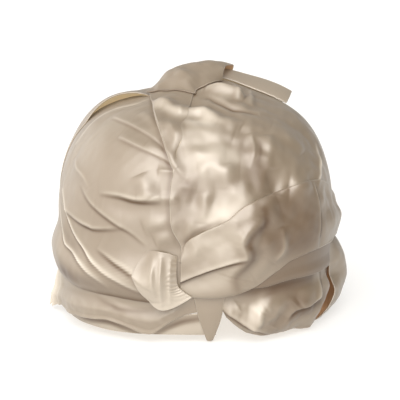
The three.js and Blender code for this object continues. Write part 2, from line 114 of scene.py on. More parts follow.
class BonnetColours(bpy.types.PropertyGroup):
    """Colours of the cloth and the studio, as sRGB hex values."""

    face: bpy.props.StringProperty(
        name="Satin face", description="Champagne of the satin's right side", default="#847562")
    face_warm: bpy.props.StringProperty(
        name="Satin face, warm", description="Warmer tone that drifts through the face", default="#81705b")
    reverse: bpy.props.StringProperty(
        name="Satin reverse", description="Dull gold of the wrong side", default="#c7b797")
    floor: bpy.props.StringProperty(
        name="Floor", description="Opal glass of the light table", default="#a3a2a0")
    sky: bpy.props.StringProperty(
        name="Studio walls", description="Lit walls round the studio", default="#ffffff")
    # Painted shade: the colour that the painted shading mixes in above 0, for creases, laps and sides turned
    # from the lamps.
    deep: bpy.props.StringProperty(
        name="Nap turned away", description="Satin whose floats lie turned from the light",
        default="#523a22")
    # Painted highlight: the colour that the painted shading mixes in below 0, for edges, lips and hems.
    pale: bpy.props.StringProperty(
        name="Nap pressed flat", description="Pressed edges and hems", default="#d6cab8")
    gleam: bpy.props.StringProperty(
        name="Gloss", description="Tint of the light that the floats mirror", default="#f9f3ec")
    # Painted shade of the reverse, mixed in where it lies inside the loop and the roll.
    reverse_painted_shade: bpy.props.StringProperty(
        name="Shaded reverse", description="The wrong side deep in a fold, lit through the cloth",
        default="#a36c42")


def sizes():
    return bpy.context.scene.bonnet_sizes


def colours():
    return bpy.context.scene.bonnet_colours


def layer():
    """Height of one sheet with the air under it, in mm."""
    return sizes().ply + sizes().air


def mm_per_degree():
    """Length of one degree on a circle as wide as the dome, in mm."""
    return math.radians(1) * sizes().half_width


# Shapes of change

def smoothstep(low, high, x):
    """0 up to low, 1 from high on, and the cubic 3t2 - 2t3 between them."""
    t = np.clip((x - low) / (high - low), 0, 1)
    return t * t * (3 - 2 * t)


def fade(low, high, x):
    """1 up to low and 0 from high on."""
    return 1 - smoothstep(low, high, x)


def arch(t):
    """Half a sine wave: 1 in the middle of 0..1 and 0 at its ends and beyond."""
    return np.sin(np.pi * np.clip(t, 0, 1))


def share_of(stretch, x):
    """Where x lies in a stretch [start, end]: 0 at its start and 1 at its end."""
    return (x - stretch[0]) / (stretch[1] - stretch[0])


def lerp(a, b, t):
    """From a at t = 0 evenly to b at t = 1."""
    return a + (b - a) * t


# The dome and its map

def direction_at(spots, side):
    """Unit directions of map spots: a spot's length is the angle from the front or back axis."""
    angle = np.radians(np.hypot(spots[..., 0], spots[..., 1]))
    turn = np.arctan2(spots[..., 1], spots[..., 0])
    flat = np.sin(angle)
    return np.stack((flat * np.cos(turn), side * np.cos(angle), flat * np.sin(turn)), axis=-1)


def dome_radius(directions):
    """Distance to the superellipsoid: (sum of |d / R| to the n) to the power -1/n."""
    s = sizes()
    vertical = np.where(directions[..., 2] >= 0, s.rise, s.drop)
    wide, deep = np.full_like(vertical, s.half_width), np.full_like(vertical, s.half_depth)
    radii = np.stack((wide, deep, vertical), -1)
    return (np.abs(directions / radii) ** s.squareness).sum(-1) ** (-1 / s.squareness)


def point_at(spots, lift, side):
    """Points in mm, lift above the dome along the ray from its centre."""
    d = direction_at(spots, side)
    return d * (dome_radius(d) + lift)[..., None] + np.array((0, 0, sizes().centre_height))


def spline(points, t):
    """Uniform Catmull-Rom curve through points, with its end points doubled, at shares t of its length."""
    p = np.asarray(points, float)
    padded = np.vstack((p[:1], p, p[-1:]))
    at = np.clip(t, 0, 1) * (len(p) - 1)
    i = np.minimum(at.astype(int), len(p) - 2)
    w = (at - i)[:, None]
    a, b, c, d = padded[i], padded[i + 1], padded[i + 2], padded[i + 3]
    slope_b, slope_c = (c - a) / 2, (d - b) / 2
    return ((2 * b - 2 * c + slope_b + slope_c) * w**3 + (-3 * b + 3 * c - 2 * slope_b - slope_c) * w**2
            + slope_b * w + b)


class Patch:
    """A grid of map spots between four edge curves (a Coons patch). u runs along bottom and top, v upwards.

    bottom and top hold their corners, and left and right only the spots between those."""

    def __init__(self, bottom, top, left=(), right=(), columns=100, rows=100):
        u, v = np.linspace(0, 1, columns + 1), np.linspace(0, 1, rows + 1)
        low, high = spline(bottom, u), spline(top, u)
        west = spline([bottom[0], *left, top[0]], v)
        east = spline([bottom[-1], *right, top[-1]], v)
        self.u, self.v = np.meshgrid(u, v)
        U, V = self.u[..., None], self.v[..., None]
        ruled = lerp(low[None], high[None], V)
        sides = lerp(west[:, None], east[:, None], U)
        bilinear = lerp(lerp(low[0], low[-1], U), lerp(high[0], high[-1], U), V)
        self.spots = ruled + sides - bilinear
        self.across, self.up = self.spots[..., 0], self.spots[..., 1]


# Folds and crumples

# kind, height and width in mm, the share of the height at the line's two ends, and the line's map spots.
# A ridge is round and a crest is sharp. A pleat steps up at its line, onto the side that is to the left of
# someone who walks along it, and dies away over its width. A negative height makes a groove.
Fold = namedtuple("Fold", "kind height width start end line")
FOLD_STEPS = 20
PLEAT_STEP = 1.3  # mm to either side of a pleat's line over which it rises
CREST_ROUND = 0.8  # mm, radius of a crest's top
PLEAT_LIP = 0.15  # how far a pleat leans over its line, as a share of its height
LIP_WIDTH = 2.6  # mm


def fold_lines(fold, spots):
    """Nearest distance in mm to a fold's line, signed distance (left is positive), place along it and its
    unit normal to the left, for each map spot: the nearest of the line's short straight steps is taken."""
    line = spline(fold.line, np.linspace(0, 1, FOLD_STEPS + 1))
    flat = spots.reshape(-1, 1, 2)
    step = np.diff(line, axis=0)
    reach = flat - line[:-1]
    t = np.clip((reach * step).sum(-1) / (step * step).sum(-1), 0, 1)
    away = np.linalg.norm(reach - t[..., None] * step, axis=-1)
    best = away.argmin(1)
    row = np.arange(len(best))
    length = np.linalg.norm(step, axis=1)
    cross = step[:, 0] * reach[..., 1] - step[:, 1] * reach[..., 0]
    signed = (cross / length)[row, best]
    along = (best + t[row, best]) / FOLD_STEPS
    left = np.stack((-step[:, 1], step[:, 0]), -1) / length[:, None]
    shape = spots.shape[:-1]
    scale = mm_per_degree()
    return (away[row, best].reshape(shape) * scale, signed.reshape(shape) * scale,
            along.reshape(shape), left[best].reshape(spots.shape))


def folds_at(folds, spots):
    """Lift in mm and sideways shift in degrees that a list of folds gives at map spots."""
    lift = np.zeros(spots.shape[:-1])
    shift = np.zeros(spots.shape)
    for fold in folds:
        away, signed, along, left = fold_lines(fold, spots)
        height = fold.height * lerp(lerp(fold.start, fold.end, along), 1, arch(along))
        if fold.kind == "ridge":
            lift += height * np.exp(-((away / fold.width) ** 2))
        elif fold.kind == "crest":
            lift += height * np.exp((CREST_ROUND - np.hypot(away, CREST_ROUND)) / fold.width)
        else:
            step = smoothstep(-PLEAT_STEP, PLEAT_STEP, signed)
            lift += height * step * np.exp(-away / fold.width)
            lip = PLEAT_LIP * height * step * np.exp(-((away / LIP_WIDTH) ** 2))
            shift -= left * (lip / mm_per_degree())[..., None]
    return lift, shift


WAVE_COUNT = 28
WAVE_SPREAD = (0.7, 1.5)  # shortest and longest wave, as shares of the wavelength


def waves(points, seed, wavelength):
    """A smooth random field of unit strength: plane waves of like length in seeded directions, added up."""
    rng = np.random.default_rng(seed)
    directions = rng.normal(size=(WAVE_COUNT, 3))
    directions /= np.linalg.norm(directions, axis=1, keepdims=True)
    lengths = wavelength * rng.uniform(*WAVE_SPREAD, WAVE_COUNT)
    phases = rng.uniform(0, 2 * np.pi, WAVE_COUNT)
    numbers = 2 * np.pi * directions / lengths[:, None]
    return np.cos(points @ numbers.T + phases).sum(-1) / math.sqrt(WAVE_COUNT / 2)


Slack = namedtuple("Slack", "height seed wavelength")  # height and wavelength in mm
FINE = Values(height=0.42, wavelength=0.45)  # as shares of the broad waves'
FINEST = Values(height=0.16, wavelength=0.22)


def crumples(slack, spots):
    """Lift of slack cloth in mm: broad soft waves with two finer sets on them, at the sheet's place."""
    points = point_at(spots, 0, FRONT)
    broad = waves(points, slack.seed, slack.wavelength)
    fine = waves(points, slack.seed + 1, FINE.wavelength * slack.wavelength)
    finest = waves(points, slack.seed + 2, FINEST.wavelength * slack.wavelength)
    return sizes().crumple * slack.height * (broad + FINE.height * fine + FINEST.height * finest)


# Painted shading: above 0 the satin's colour is darkened towards a painted shade colour, and below 0 it is
# lightened towards a painted highlight colour. It is drawn with ridge folds whose height is the tone.
# Painted shade in sunken creases, painted highlight on raised edges and, by hem, along every border.
EDGE_PAINTED_SHADING = Values(
    steps=2,  # of the grid, to the points that a point is compared with
    per_mm=0.55,
    deepest=0.5,
    palest=0.55,
    hem=0.25,
)
# A painted shadow line just below each pleat's step and a painted highlight line on its lip.
CREASE_PAINTED_SHADING = Values(
    deep=0.8,
    below=-1.2,  # mm from the pleat's line to the middle of the deep line
    width=1.3,  # mm
    pale=0.2,
    above=1.7,  # mm
    lip=1.4,  # mm, width of the paler line
    full_height=2.5,  # mm, of a pleat with the full tone
)


def edge_painted_shading(outer, normals, hem):
    """Painted shading from the sheet's bends: painted shade where a point is sunk below the mean of the
    points a few steps away along u and v, painted highlight where it stands above it, times a tone per mm,
    and a painted highlight line on the border."""
    k = EDGE_PAINTED_SHADING.steps
    wide = np.pad(outer, ((k, k), (k, k), (0, 0)), mode="reflect", reflect_type="odd")
    mean = (wide[2 * k:, k:-k] + wide[:-2 * k, k:-k] + wide[k:-k, 2 * k:] + wide[k:-k, :-2 * k]) / 4
    sunk = ((mean - outer) * normals).sum(-1)
    tone = np.clip(EDGE_PAINTED_SHADING.per_mm * sunk, -EDGE_PAINTED_SHADING.palest, EDGE_PAINTED_SHADING.deepest)
    border = np.ones(tone.shape)
    border[1:-1, 1:-1] = 0
    return tone - hem * border


def tone_at(lines, spots):
    """Painted shading that a list of tone lines gives at map spots."""
    return folds_at(lines, spots)[0]


def crease_tone(folds, spots):
    """Painted shading along the pleats: a painted shadow line just below the step and a painted highlight
    line on the lip above it, each a round bump exp(-(distance / width) squared) that grows with the pleat's
    height."""
    tone = np.zeros(spots.shape[:-1])
    c = CREASE_PAINTED_SHADING
    for fold in folds:
        if fold.kind == "pleat":
            away, signed, along, _ = fold_lines(fold, spots)
            beside = signed + np.copysign(np.sqrt(np.maximum(away ** 2 - signed ** 2, 0)), signed)
            height = fold.height * lerp(lerp(fold.start, fold.end, along), 1, arch(along))
            full = np.clip(height / c.full_height, 0, 1)
            deep = c.deep * np.exp(-(((beside - c.below) / c.width) ** 2))
            pale = c.pale * np.exp(-(((beside - c.above) / c.lip) ** 2))
            tone += full * (deep - pale)
    return tone


# Meshes

def grid_quads(columns, rows):
    """Corner numbers of the quads of a grid of points, counterclockwise with u to the right and v up."""
    a = np.arange(rows)[:, None] * (columns + 1) + np.arange(columns)
    return np.stack((a, a + 1, a + columns + 2, a + columns + 1), -1).reshape(-1, 4)


def border_of(columns, rows):
    """Numbers of a grid's border points, counterclockwise from the lower left corner."""
    at = np.arange((rows + 1) * (columns + 1)).reshape(rows + 1, columns + 1)
    return np.concatenate((at[0, :-1], at[:-1, -1], at[-1, :0:-1], at[:0:-1, 0]))


def unit(vectors):
    """Vectors brought to length 1."""
    return vectors / np.maximum(np.linalg.norm(vectors, axis=-1, keepdims=True), 1e-9)


def surface_normals(outer, side):
    """Unit normals of a grid of points: the cross product of its slopes along u and v, turned outwards."""
    along_u = np.gradient(outer, axis=1)
    along_v = np.gradient(outer, axis=0)
    return unit(np.cross(along_u, along_v)) * -side


def sheet_mesh(name, outer, side, ply, tone, inside):
    """A closed sheet: the outer face, the same face one ply further in, and a half-round hem round the
    border through a ring of points pushed out by half a ply. The reverse takes the second material."""
    rows, columns = outer.shape[0] - 1, outer.shape[1] - 1
    thick = np.broadcast_to(ply, outer.shape[:-1])[..., None]
    normals = surface_normals(outer, side)
    inner = outer - thick * normals
    count = outer.shape[0] * outer.shape[1]
    border = border_of(columns, rows)
    centre = outer - 0.5 * thick * normals
    outward = np.zeros_like(outer)
    outward[0] += unit(centre[0] - centre[1])
    outward[-1] += unit(centre[-1] - centre[-2])
    outward[:, 0] += unit(centre[:, 0] - centre[:, 1])
    outward[:, -1] += unit(centre[:, -1] - centre[:, -2])
    hem = (centre + 0.5 * thick * unit(outward)).reshape(-1, 3)[border]
    points = np.concatenate((outer.reshape(-1, 3), inner.reshape(-1, 3), hem)) * MM
    quads = grid_quads(columns, rows)
    ring = 2 * count + np.arange(len(border))
    following = np.roll(border, -1), np.roll(ring, -1)
    outer_hem = np.stack((following[0], border, ring, following[1]), -1)
    inner_hem = np.stack((following[1], ring, border + count, following[0] + count), -1)
    faces = np.concatenate((quads, quads[:, ::-1] + count, outer_hem, inner_hem))
    if side == BACK:
        faces = faces[:, ::-1]
    reverse = np.zeros(len(faces), np.int32)
    reverse[len(quads):2 * len(quads)] = 1

    mesh = bpy.data.meshes.new(name)
    mesh.vertices.add(len(points))
    mesh.vertices.foreach_set("co", points.astype(np.float32).ravel())
    mesh.loops.add(faces.size)
    mesh.loops.foreach_set("vertex_index", faces.astype(np.int32).ravel())
    mesh.polygons.add(len(faces))
    mesh.polygons.foreach_set("loop_start", np.arange(0, faces.size, 4, dtype=np.int32))
    mesh.polygons.foreach_set("material_index", reverse)
    mesh.polygons.foreach_set("use_smooth", np.ones(len(faces), bool))
    mesh.update(calc_edges=True)

    # UV map in metres along the cloth, so that the weave keeps its real scale.
    width = np.linalg.norm(np.diff(outer, axis=1), axis=-1).sum(1).mean() * MM
    length = np.linalg.norm(np.diff(outer, axis=0), axis=-1).sum(0).mean() * MM
    u, v = np.meshgrid(np.linspace(0, width, columns + 1), np.linspace(0, length, rows + 1))
    flat = np.stack((u, v), -1).reshape(-1, 2)
    uv = np.concatenate((flat, flat, flat[border]))
    layer_uv = mesh.uv_layers.new(name="cloth")
    layer_uv.data.foreach_set("uv", uv[faces.ravel()].astype(np.float32).ravel())
    # Painted shading per point: the sheet's tone plus the painted shade and painted highlight of its bends
    # and hem, with inside added on the reverse.
    painted_shading = (tone + edge_painted_shading(outer, normals, EDGE_PAINTED_SHADING.hem * thick[..., 0] / sizes().ply)).ravel()
    attribute = mesh.attributes.new("painted_shading", "FLOAT", "POINT")
    attribute.data.foreach_set("value", np.concatenate((painted_shading, painted_shading + inside, painted_shading[border])).astype(np.float32))
    if mesh.validate():
        raise RuntimeError(f"{name}: the mesh had faulty faces")
    return mesh


def make_sheet(name, patch, lift, shift=0.0, side=FRONT, ply=None, tone=0.0,
               inside=0.0):
    """Puts a sheet of cloth into the scene in place of the solid of the same name.

    tone is the painted shading, painted shade above 0 and painted highlight below 0, and inside
    is added to it on the reverse."""
    thick = sizes().ply if ply is None else ply
    outer = point_at(patch.spots + shift, sizes().ply + lift, side)
    mesh = sheet_mesh(name + "_cloth", outer, side, thick, tone, inside)
    piece = bpy.data.objects.new(name + "_cloth", mesh)
    bpy.context.scene.collection.objects.link(piece)
    piece.data.materials.append(satin_face())
    piece.data.materials.append(satin_reverse())
    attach(piece, BODY)
    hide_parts(name)
    return piece


# Materials

def linear(hex_colour):
    """Linear RGBA of an sRGB hex colour."""
    values = [int(hex_colour[i:i + 2], 16) / 255 for i in (1, 3, 5)]
    return [v / 12.92 if v <= 0.04045 else ((v + 0.055) / 1.055) ** 2.4 for v in values] + [1.0]


def add_node(tree, kind, settings=None, inputs=None):
    """Adds a node, sets its properties, and sets or links its inputs: a socket as value makes a link."""
    node = tree.nodes.new(kind)
    for key, value in (settings or {}).items():
        setattr(node, key, value)
    for key, value in (inputs or {}).items():
        if isinstance(value, bpy.types.NodeSocket):
            tree.links.new(value, node.inputs[key])
        else:
            node.inputs[key].default_value = value
    return node


THREAD = 0.9 * MM  # spacing of the drawn warp floats: real ones are near 0.1 mm and too fine to show
SLUB = 14 * MM  # length of a slightly thicker stretch of thread
RELIEF = 0.1 * MM  # height of a float over the weave
RELIEF_STRENGTH = 0.12
STREAK = 0.04  # how far the roughness varies from float to float
DRIFT = 45 * MM  # size of the patches in which the tone drifts
SHEEN = Values(weight=0.1, roughness=0.4)  # of the short fibres on the floats
SPECULAR = Values(plain=0.5, deep=0.22)  # deep where the painted shading is above 0: painted shade also mirrors less


def satin_material(name, main, drift, deep, pale, gleam, roughness, lustre, through):
    """Woven silk satin: long warp floats give a soft, broad gloss, with faint streaks along the warp and a
    slow drift of tone. Painted shade and painted highlight come from the sheet's painted shading, and
    through is a painted glow of emission."""
    found = bpy.data.materials.get(name)
    if found:
        return found
    material = bpy.data.materials.new(name)
    material.use_nodes = True
    tree = material.node_tree
    tree.nodes.clear()
    cloth = add_node(tree, "ShaderNodeUVMap", {"uv_map": "cloth"})
    place = add_node(tree, "ShaderNodeTexCoord")
    along_warp = add_node(tree, "ShaderNodeMapping", inputs={
        "Vector": cloth.outputs["UV"], "Scale": (1 / THREAD, 1 / SLUB, 1)})
    floats = add_node(tree, "ShaderNodeTexNoise", inputs={
        "Vector": along_warp.outputs["Vector"], "Scale": 1.0, "Detail": 2.0, "Roughness": 0.5})
    tone = add_node(tree, "ShaderNodeTexNoise", inputs={
        "Vector": place.outputs["Object"], "Scale": 1 / DRIFT, "Detail": 2.0})
    colour = add_node(tree, "ShaderNodeMix", {"data_type": "RGBA"}, {
        0: tone.outputs["Fac"], 6: linear(main), 7: linear(drift)})
    # Painted shading: above 0 it mixes in the painted shade colour, below 0 the painted highlight colour.
    painted_shading = add_node(tree, "ShaderNodeAttribute", {"attribute_name": "painted_shading"})
    turned = add_node(tree, "ShaderNodeMix", {"data_type": "RGBA"}, {
        0: painted_shading.outputs["Fac"], 6: colour.outputs[2], 7: linear(deep)})
    flat = add_node(tree, "ShaderNodeMath", {"operation": "MULTIPLY", "use_clamp": True}, {
        0: painted_shading.outputs["Fac"], 1: -1.0})
    colour = add_node(tree, "ShaderNodeMix", {"data_type": "RGBA"}, {
        0: flat.outputs["Value"], 6: turned.outputs[2], 7: linear(pale)})
    gloss = add_node(tree, "ShaderNodeMapRange", inputs={
        "Value": floats.outputs["Fac"], "To Min": roughness - STREAK, "To Max": roughness + STREAK})
    mirrored = add_node(tree, "ShaderNodeMapRange", inputs={
        "Value": painted_shading.outputs["Fac"], "To Min": SPECULAR.plain, "To Max": SPECULAR.deep})
    threads = add_node(tree, "ShaderNodeBump", inputs={
        "Height": floats.outputs["Fac"], "Strength": RELIEF_STRENGTH, "Distance": RELIEF})
    # Emission at the strength through makes the surface glow by itself: a painted glow.
    shader = add_node(tree, "ShaderNodeBsdfPrincipled", inputs={
        "Base Color": colour.outputs[2], "Roughness": gloss.outputs["Result"], "IOR": lustre,
        "Specular Tint": linear(gleam), "Specular IOR Level": mirrored.outputs["Result"],
        "Normal": threads.outputs["Normal"],
        "Sheen Weight": SHEEN.weight, "Sheen Roughness": SHEEN.roughness,
        "Emission Color": colour.outputs[2], "Emission Strength": through})
    add_node(tree, "ShaderNodeOutputMaterial", inputs={"Surface": shader.outputs["BSDF"]})
    return material


def satin_face():
    """The right side shows the warp floats, which mirror more than plain silk does."""
    c = colours()
    return satin_material("silk satin face", c.face, c.face_warm, c.deep, c.pale, c.gleam,
                          roughness=0.455, lustre=2.25, through=0.0)


def satin_reverse():
    """The wrong side shows the weft: duller and warmer, with its own painted shade colour and a painted glow
    of emission in place of light that comes through from the face.
    """
    c = colours()
    return satin_material("silk satin reverse", c.reverse, c.reverse, c.reverse_painted_shade, c.reverse, c.gleam,
                          roughness=0.55, lustre=1.5, through=0.26)


# Left panel

# A stretch over which a lift grows or dies away is (start, end), in degrees on the map, in shares of u or v,
# or in mm where that is said. Heights are in mm, and a lap is counted in layers.
FEATHER = 0.12  # mm, thickness of a sheet where it thins out and runs on into the one below
FEATHER_LIFT = 1.5 * FEATHER
LEADING_EDGE = [
    (-5.1, 3.2), (-8.5, 11), (-8.8, 22.9), (-7.9, 30), (-9.2, 33.6), (-13.2, 44.5), (-20.3, 62), (-29, 86)]
BESIDE_EDGE = 0.9  # degrees from the leading edge to the shaded line on its left
LEFT_HEM = [
    (-98, -34), (-84, -31), (-73, -25), (-60, -20.5), (-40, -18.2), (-27, -17.6), (-15, -18.6),
    (-3.5, -17.5)]
UPPER_CREASE = [
    (-60, 20), (-54, 10.7), (-49.6, 4), (-43.8, -0.6), (-39, -4.1), (-33.8, -6.8), (-16, -15)]
LOWER_CREASE = [
    (-66, 16), (-59.5, 5), (-55.5, -1.8), (-49.9, -3.9), (-43.9, -6.5), (-39, -8.7), (-31, -12.5)]
LEFT_FOLDS = [
    Fold("pleat", 1.2, 9, 0, 0.8, [(-32, 44), (-28.6, 42.4), (-19.7, 38.4), (-11.1, 34.5), (-7.5, 31.5)]),
    Fold("ridge", 1.0, 3.6, 0, 0.5, [(-19, 41.5), (-14.5, 39.2), (-9.5, 36)]),
    Fold("pleat", 0.9, 9, 0, 0.7, [(-41, 56.5), (-36, 54.5), (-23.6, 48.1), (-13.5, 41.3), (-8.5, 34)]),
    Fold("ridge", 1.5, 4.5, 0, 0.5, [(-26, 60), (-19.6, 54.5), (-13, 47)]),
    Fold("crest", 2.0, 3, 0, 0.6, [(-13.8, 30.6), (-8, 30.4)]),
    Fold("ridge", 2.8, 6, 0, 0.3, [(-20, 29), (-17.5, 24), (-15.5, 20.8)]),
    Fold("pleat", 2.6, 13, 0, 0, [(-36.2, 20.8), (-28.1, 20.5), (-22.5, 19.5), (-17, 19.3), (-12, 19.6)]),
    Fold("ridge", 1.6, 3, 0, 0.8, [(-21, 20.4), (-14, 20.6), (-8, 20.6)]),
    Fold("ridge", -1.5, 6, 0, 0.3, [(-34, 17.6), (-26, 16.4), (-16, 16.2)]),
    Fold("ridge", 2.4, 5, 0, 0.5, [(-19, 9.5), (-13, 11.5), (-8.5, 11)]),
    Fold("ridge", 2.2, 4.5, 0, 0.5, [(-15, 5), (-11, 6.5), (-7, 6)]),
    Fold("crest", 2.4, 4, 0, 0.3, [(-55, 36), (-50, 30.5), (-44.7, 27.2), (-40.7, 22.9)]),
    Fold("pleat", 1.6, 12, 0, 0, [(-46, 24), (-39.5, 16.9), (-30, 10.8), (-24, 7.7), (-17.5, 2.5)]),
    Fold("pleat", 2.4, 13, 0.4, 0, [(-54, 12), (-45.5, 9.1), (-40.8, 8), (-36.8, 7.5), (-26, 9)]),
    Fold("pleat", 2.4, 10, 0.8, 0.2, UPPER_CREASE),
    Fold("pleat", 2.2, 8, 0.8, 0, LOWER_CREASE),
    Fold("pleat", 2.2, 12, 0, 0.9, [(-37, 0), (-29.5, -3.4), (-25.4, -5.2), (-22.3, -6.9)]),
    Fold("pleat", 0.6, 10, 0.5, 0.3, [(-27, 74), (-31.9, 68.4), (-42.5, 64.5), (-51, 60), (-55.5, 53),
                                      (-58, 44), (-59, 34)]),
]
# Painted shading of the left panel: painted shade above the hem, beside the leading edge and in the hollows,
# painted highlight along the two lower creases and the top hem.
LEFT_TONES = [
    Fold("ridge", 0.45, 7, 0.2, 0.8, [(-66, -17), (-54, -14.5), (-42, -13.6), (-30, -14.6), (-17, -16.5)]),
    Fold("ridge", 0.35, 8, 0.5, 0, [(-60, -13), (-54, -12.5), (-46, -11.5)]),
    Fold("ridge", 0.3, 4, 0.2, 0, [(-59, 8), (-54, 1.5), (-49, -2), (-43, -5.5)]),
    Fold("ridge", -0.9, 1.5, 0.6, 0.2, UPPER_CREASE),
    Fold("ridge", -0.9, 1.5, 0.6, 0.2, LOWER_CREASE),
    Fold("ridge", 0.6, 2.2, 0.3, 0.8, LEFT_HEM[3:]),
    Fold("ridge", 0.4, 6, 0.1, 0.1, [(-60, -15.8), (-54, -15), (-44, -15)]),
    Fold("ridge", 0.5, 1.8, 0.4, 0.2, [(across - BESIDE_EDGE, up) for across, up in LEADING_EDGE]),
    Fold("ridge", -0.12, 20, 0.8, 0.8, [(-32, 62), (-46, 48)]),
    Fold("ridge", -0.5, 2.6, 0.2, 0.6, [(-26, 77), (-33, 70.5), (-43, 66), (-52, 61), (-57, 53),
                                        (-59.5, 44)]),
    Fold("ridge", 0.1, 22, 1, 1, [(-40, 16), (-34, 6)]),
]
LEFT = Values(
    under_right=5,  # degrees that it runs on under the right panel
    beside_back=(74, 86),  # across, to the left
    below_mouth=(76, 86),  # from the middle of the front
    band_lap=1.3,
    over_band=(-13, 4),  # up
    beside_band=(72, 78),  # across, to the left
    belly=6,  # mm, of the bulge over the band
    belly_rise=(36, 66),  # mm from the hem to the bulge's upper end, at the front and at the side
    belly_side=(48, 70),  # across, to the left
    belly_thins=(0.4, 1),  # share of that rise
    beside_knot=(-18, -8),  # across
    hem_tuck=0.6,  # mm
    tuck_rise=(0, 6),  # mm from the hem
    slack=Slack(0.35, 5, 45),
)


def left_form(spots):
    """Height and sideways shift of the left panel at any map spot: its folds, where it isn't under the back
    panel, the lap over the band and the bulge above its hem."""
    across, up = spots[..., 0], spots[..., 1]
    hem = np.array(LEFT_HEM)
    above_hem = (up - np.interp(across, hem[:, 0], hem[:, 1])) * mm_per_degree()
    shown = fade(*LEFT.beside_back, -across) * fade(*LEFT.below_mouth, np.hypot(across, up))
    over_band = LEFT.band_lap * layer() * fade(*LEFT.over_band, up) * fade(*LEFT.beside_band, -across)
    risen = above_hem / lerp(*LEFT.belly_rise, smoothstep(*LEFT.belly_side, -across))
    belly = LEFT.belly * arch(risen) * fade(*LEFT.belly_thins, risen) * fade(*LEFT.beside_knot, across)
    tuck = LEFT.hem_tuck * fade(*LEFT.tuck_rise, above_hem)
    folds, shift = folds_at(LEFT_FOLDS, spots)
    lift = over_band - tuck + shown * (belly + folds + crumples(LEFT.slack, spots))
    return lift, shift * shown[..., None]


def crown_left():
    """Left front panel: smooth above, with tension folds to the front edge and diagonal pleats below.

    It runs on under the right panel, and left_form gives its height everywhere."""
    p = Patch(
        bottom=LEFT_HEM,
        top=[(-96, 42), (-86, 56), (-73, 68), (-60, 75), (-47, 80.5), (-37, 83), (-24.5, 79)],
        left=[(-102, 8)],
        right=[(across + LEFT.under_right, up) for across, up in LEADING_EDGE[:-1]],
        columns=225, rows=205)
    lift, shift = left_form(p.spots)
    tone = tone_at(LEFT_TONES, p.spots) + crease_tone(LEFT_FOLDS, p.spots)
    return make_sheet("crown_left", p, lift, shift=shift, tone=tone)


# Right panel

RIGHT_FOLDS = [
    Fold("ridge", 6.5, 5.5, 0.2, 0, [(6, 81.5), (13, 80), (21, 77), (28, 72)]),
    Fold("ridge", -2.6, 3.5, 0.4, 0, [(8, 73), (10, 71.9), (16.7, 64.7), (24, 60.1), (31, 57.6)]),
    Fold("ridge", 2.6, 4.5, 0, 0, [(26, 92), (25.5, 80), (23, 70)]),
    Fold("ridge", 2.4, 4.5, 0, 0, [(39, 90), (33, 76), (29, 66)]),
    Fold("ridge", 5.6, 6.5, 0.9, 0, [(-6, 60), (0, 60.5), (5, 59.5), (12, 54), (20, 49)]),
    Fold("ridge", 2.6, 8, 0.2, 0, [(-4, 48), (6, 49), (16, 45)]),
    Fold("ridge", 1.3, 5.5, 0, 0, [(-4, 37), (3, 38), (12, 37)]),
    Fold("ridge", 1.3, 7, 0.2, 0, [(1, 31), (9, 32), (17, 31)]),
    Fold("ridge", 3.6, 13, 0.3, 0, [(0, 5), (10, 11), (20, 16.5), (30, 20)]),
    Fold("crest", 1.8, 3, 0, 0, [(22.8, 46), (23.4, 40), (21, 31)]),
    Fold("ridge", 1.8, 5, 0, 0, [(29.4, 45), (29.2, 39), (27, 31)]),
    Fold("ridge", 1.1, 6, 0, 0, [(11.5, 33), (12, 29), (11.5, 24)]),
    Fold("ridge", 2.4, 7, 0, 0, [(34, 50), (43.2, 43.4), (47, 37)]),
    Fold("ridge", 2.6, 7, 0, 0, [(36, 24), (41, 23), (47, 23)]),
    Fold("ridge", -2.0, 6, 0, 0, [(30, 31), (30.3, 25.5), (29, 21)]),
    Fold("crest", 1.4, 3.5, 0, 0.3, [(-7.6, 24.6), (-4, 25), (0.8, 24.2)]),
    Fold("ridge", 1.8, 4, 0, 0, [(3, 23), (3.2, 18), (2.5, 12)]),
    Fold("crest", 2.0, 3, 0, 0, [(65, 44), (61, 36), (56, 28), (51, 21)]),
]
# Painted shading of the right panel: painted highlight on crests and on patches that face the lamps, painted
# shade in grooves and on patches turned from them.
RIGHT_TONES = [
    Fold("ridge", -0.7, 1.6, 0.2, 0.2, [(65, 44), (61, 36), (56, 28), (51, 21)]),
    Fold("ridge", 0.4, 1.4, 0, 0, [(26, 43), (25.9, 38.5), (23.4, 31.9)]),
    Fold("ridge", 0.5, 1.6, 0.2, 0, [(10, 71.9), (16.7, 64.7), (24, 60.1), (30.8, 57.8)]),
    Fold("ridge", 0.25, 6, 0.8, 0.8, [(-4.5, 21), (-4.5, 14)]),
    Fold("ridge", -0.3, 12, 0.6, 0.2, [(1, 46), (5, 38), (3, 28)]),
    Fold("ridge", -0.45, 8, 0.6, 0.4, [(3, 8), (9, 13.5), (19, 19)]),
    Fold("ridge", -0.3, 5, 0.6, 0.2, [(12.7, 74.6), (20.9, 73)]),
    Fold("ridge", 0.5, 11, 0.6, 0.6, [(21, 36), (24, 29), (26, 24)]),
    Fold("ridge", -0.6, 6, 0.6, 0.4, [(-1, 53.5), (4, 53), (9, 51)]),
    Fold("ridge", -0.45, 6, 0.6, 0.6, [(9, 38), (13.5, 36), (17, 34)]),
    Fold("ridge", 0.45, 7, 0.6, 0.6, [(-4, 27), (0, 23)]),
    Fold("ridge", 0.6, 1.8, 0.8, 0, [(-3.5, 5), (-1, 7.6), (4, 10.4), (10, 13)]),
    Fold("ridge", -0.3, 5, 0.8, 0.2, [(-4, 57.5), (2.5, 59.1), (7.4, 53)]),
]
RIGHT = Values(
    back_lap=1.4,
    over_back=(72, 82),  # from the middle of the front, past the sides and the crown
    over_left=(3, 22),  # from the leading edge
    knot_lap=0.6,  # layers that the lap gains beside the knot
    beside_knot=(-3, 6),  # up
    folds_from=(1.5, 6),  # from the leading edge
    folds_to=(88, 97),  # from the middle of the front
    beside_back=(66, 80),  # across
    slack=Slack(0.7, 11, 40),
)
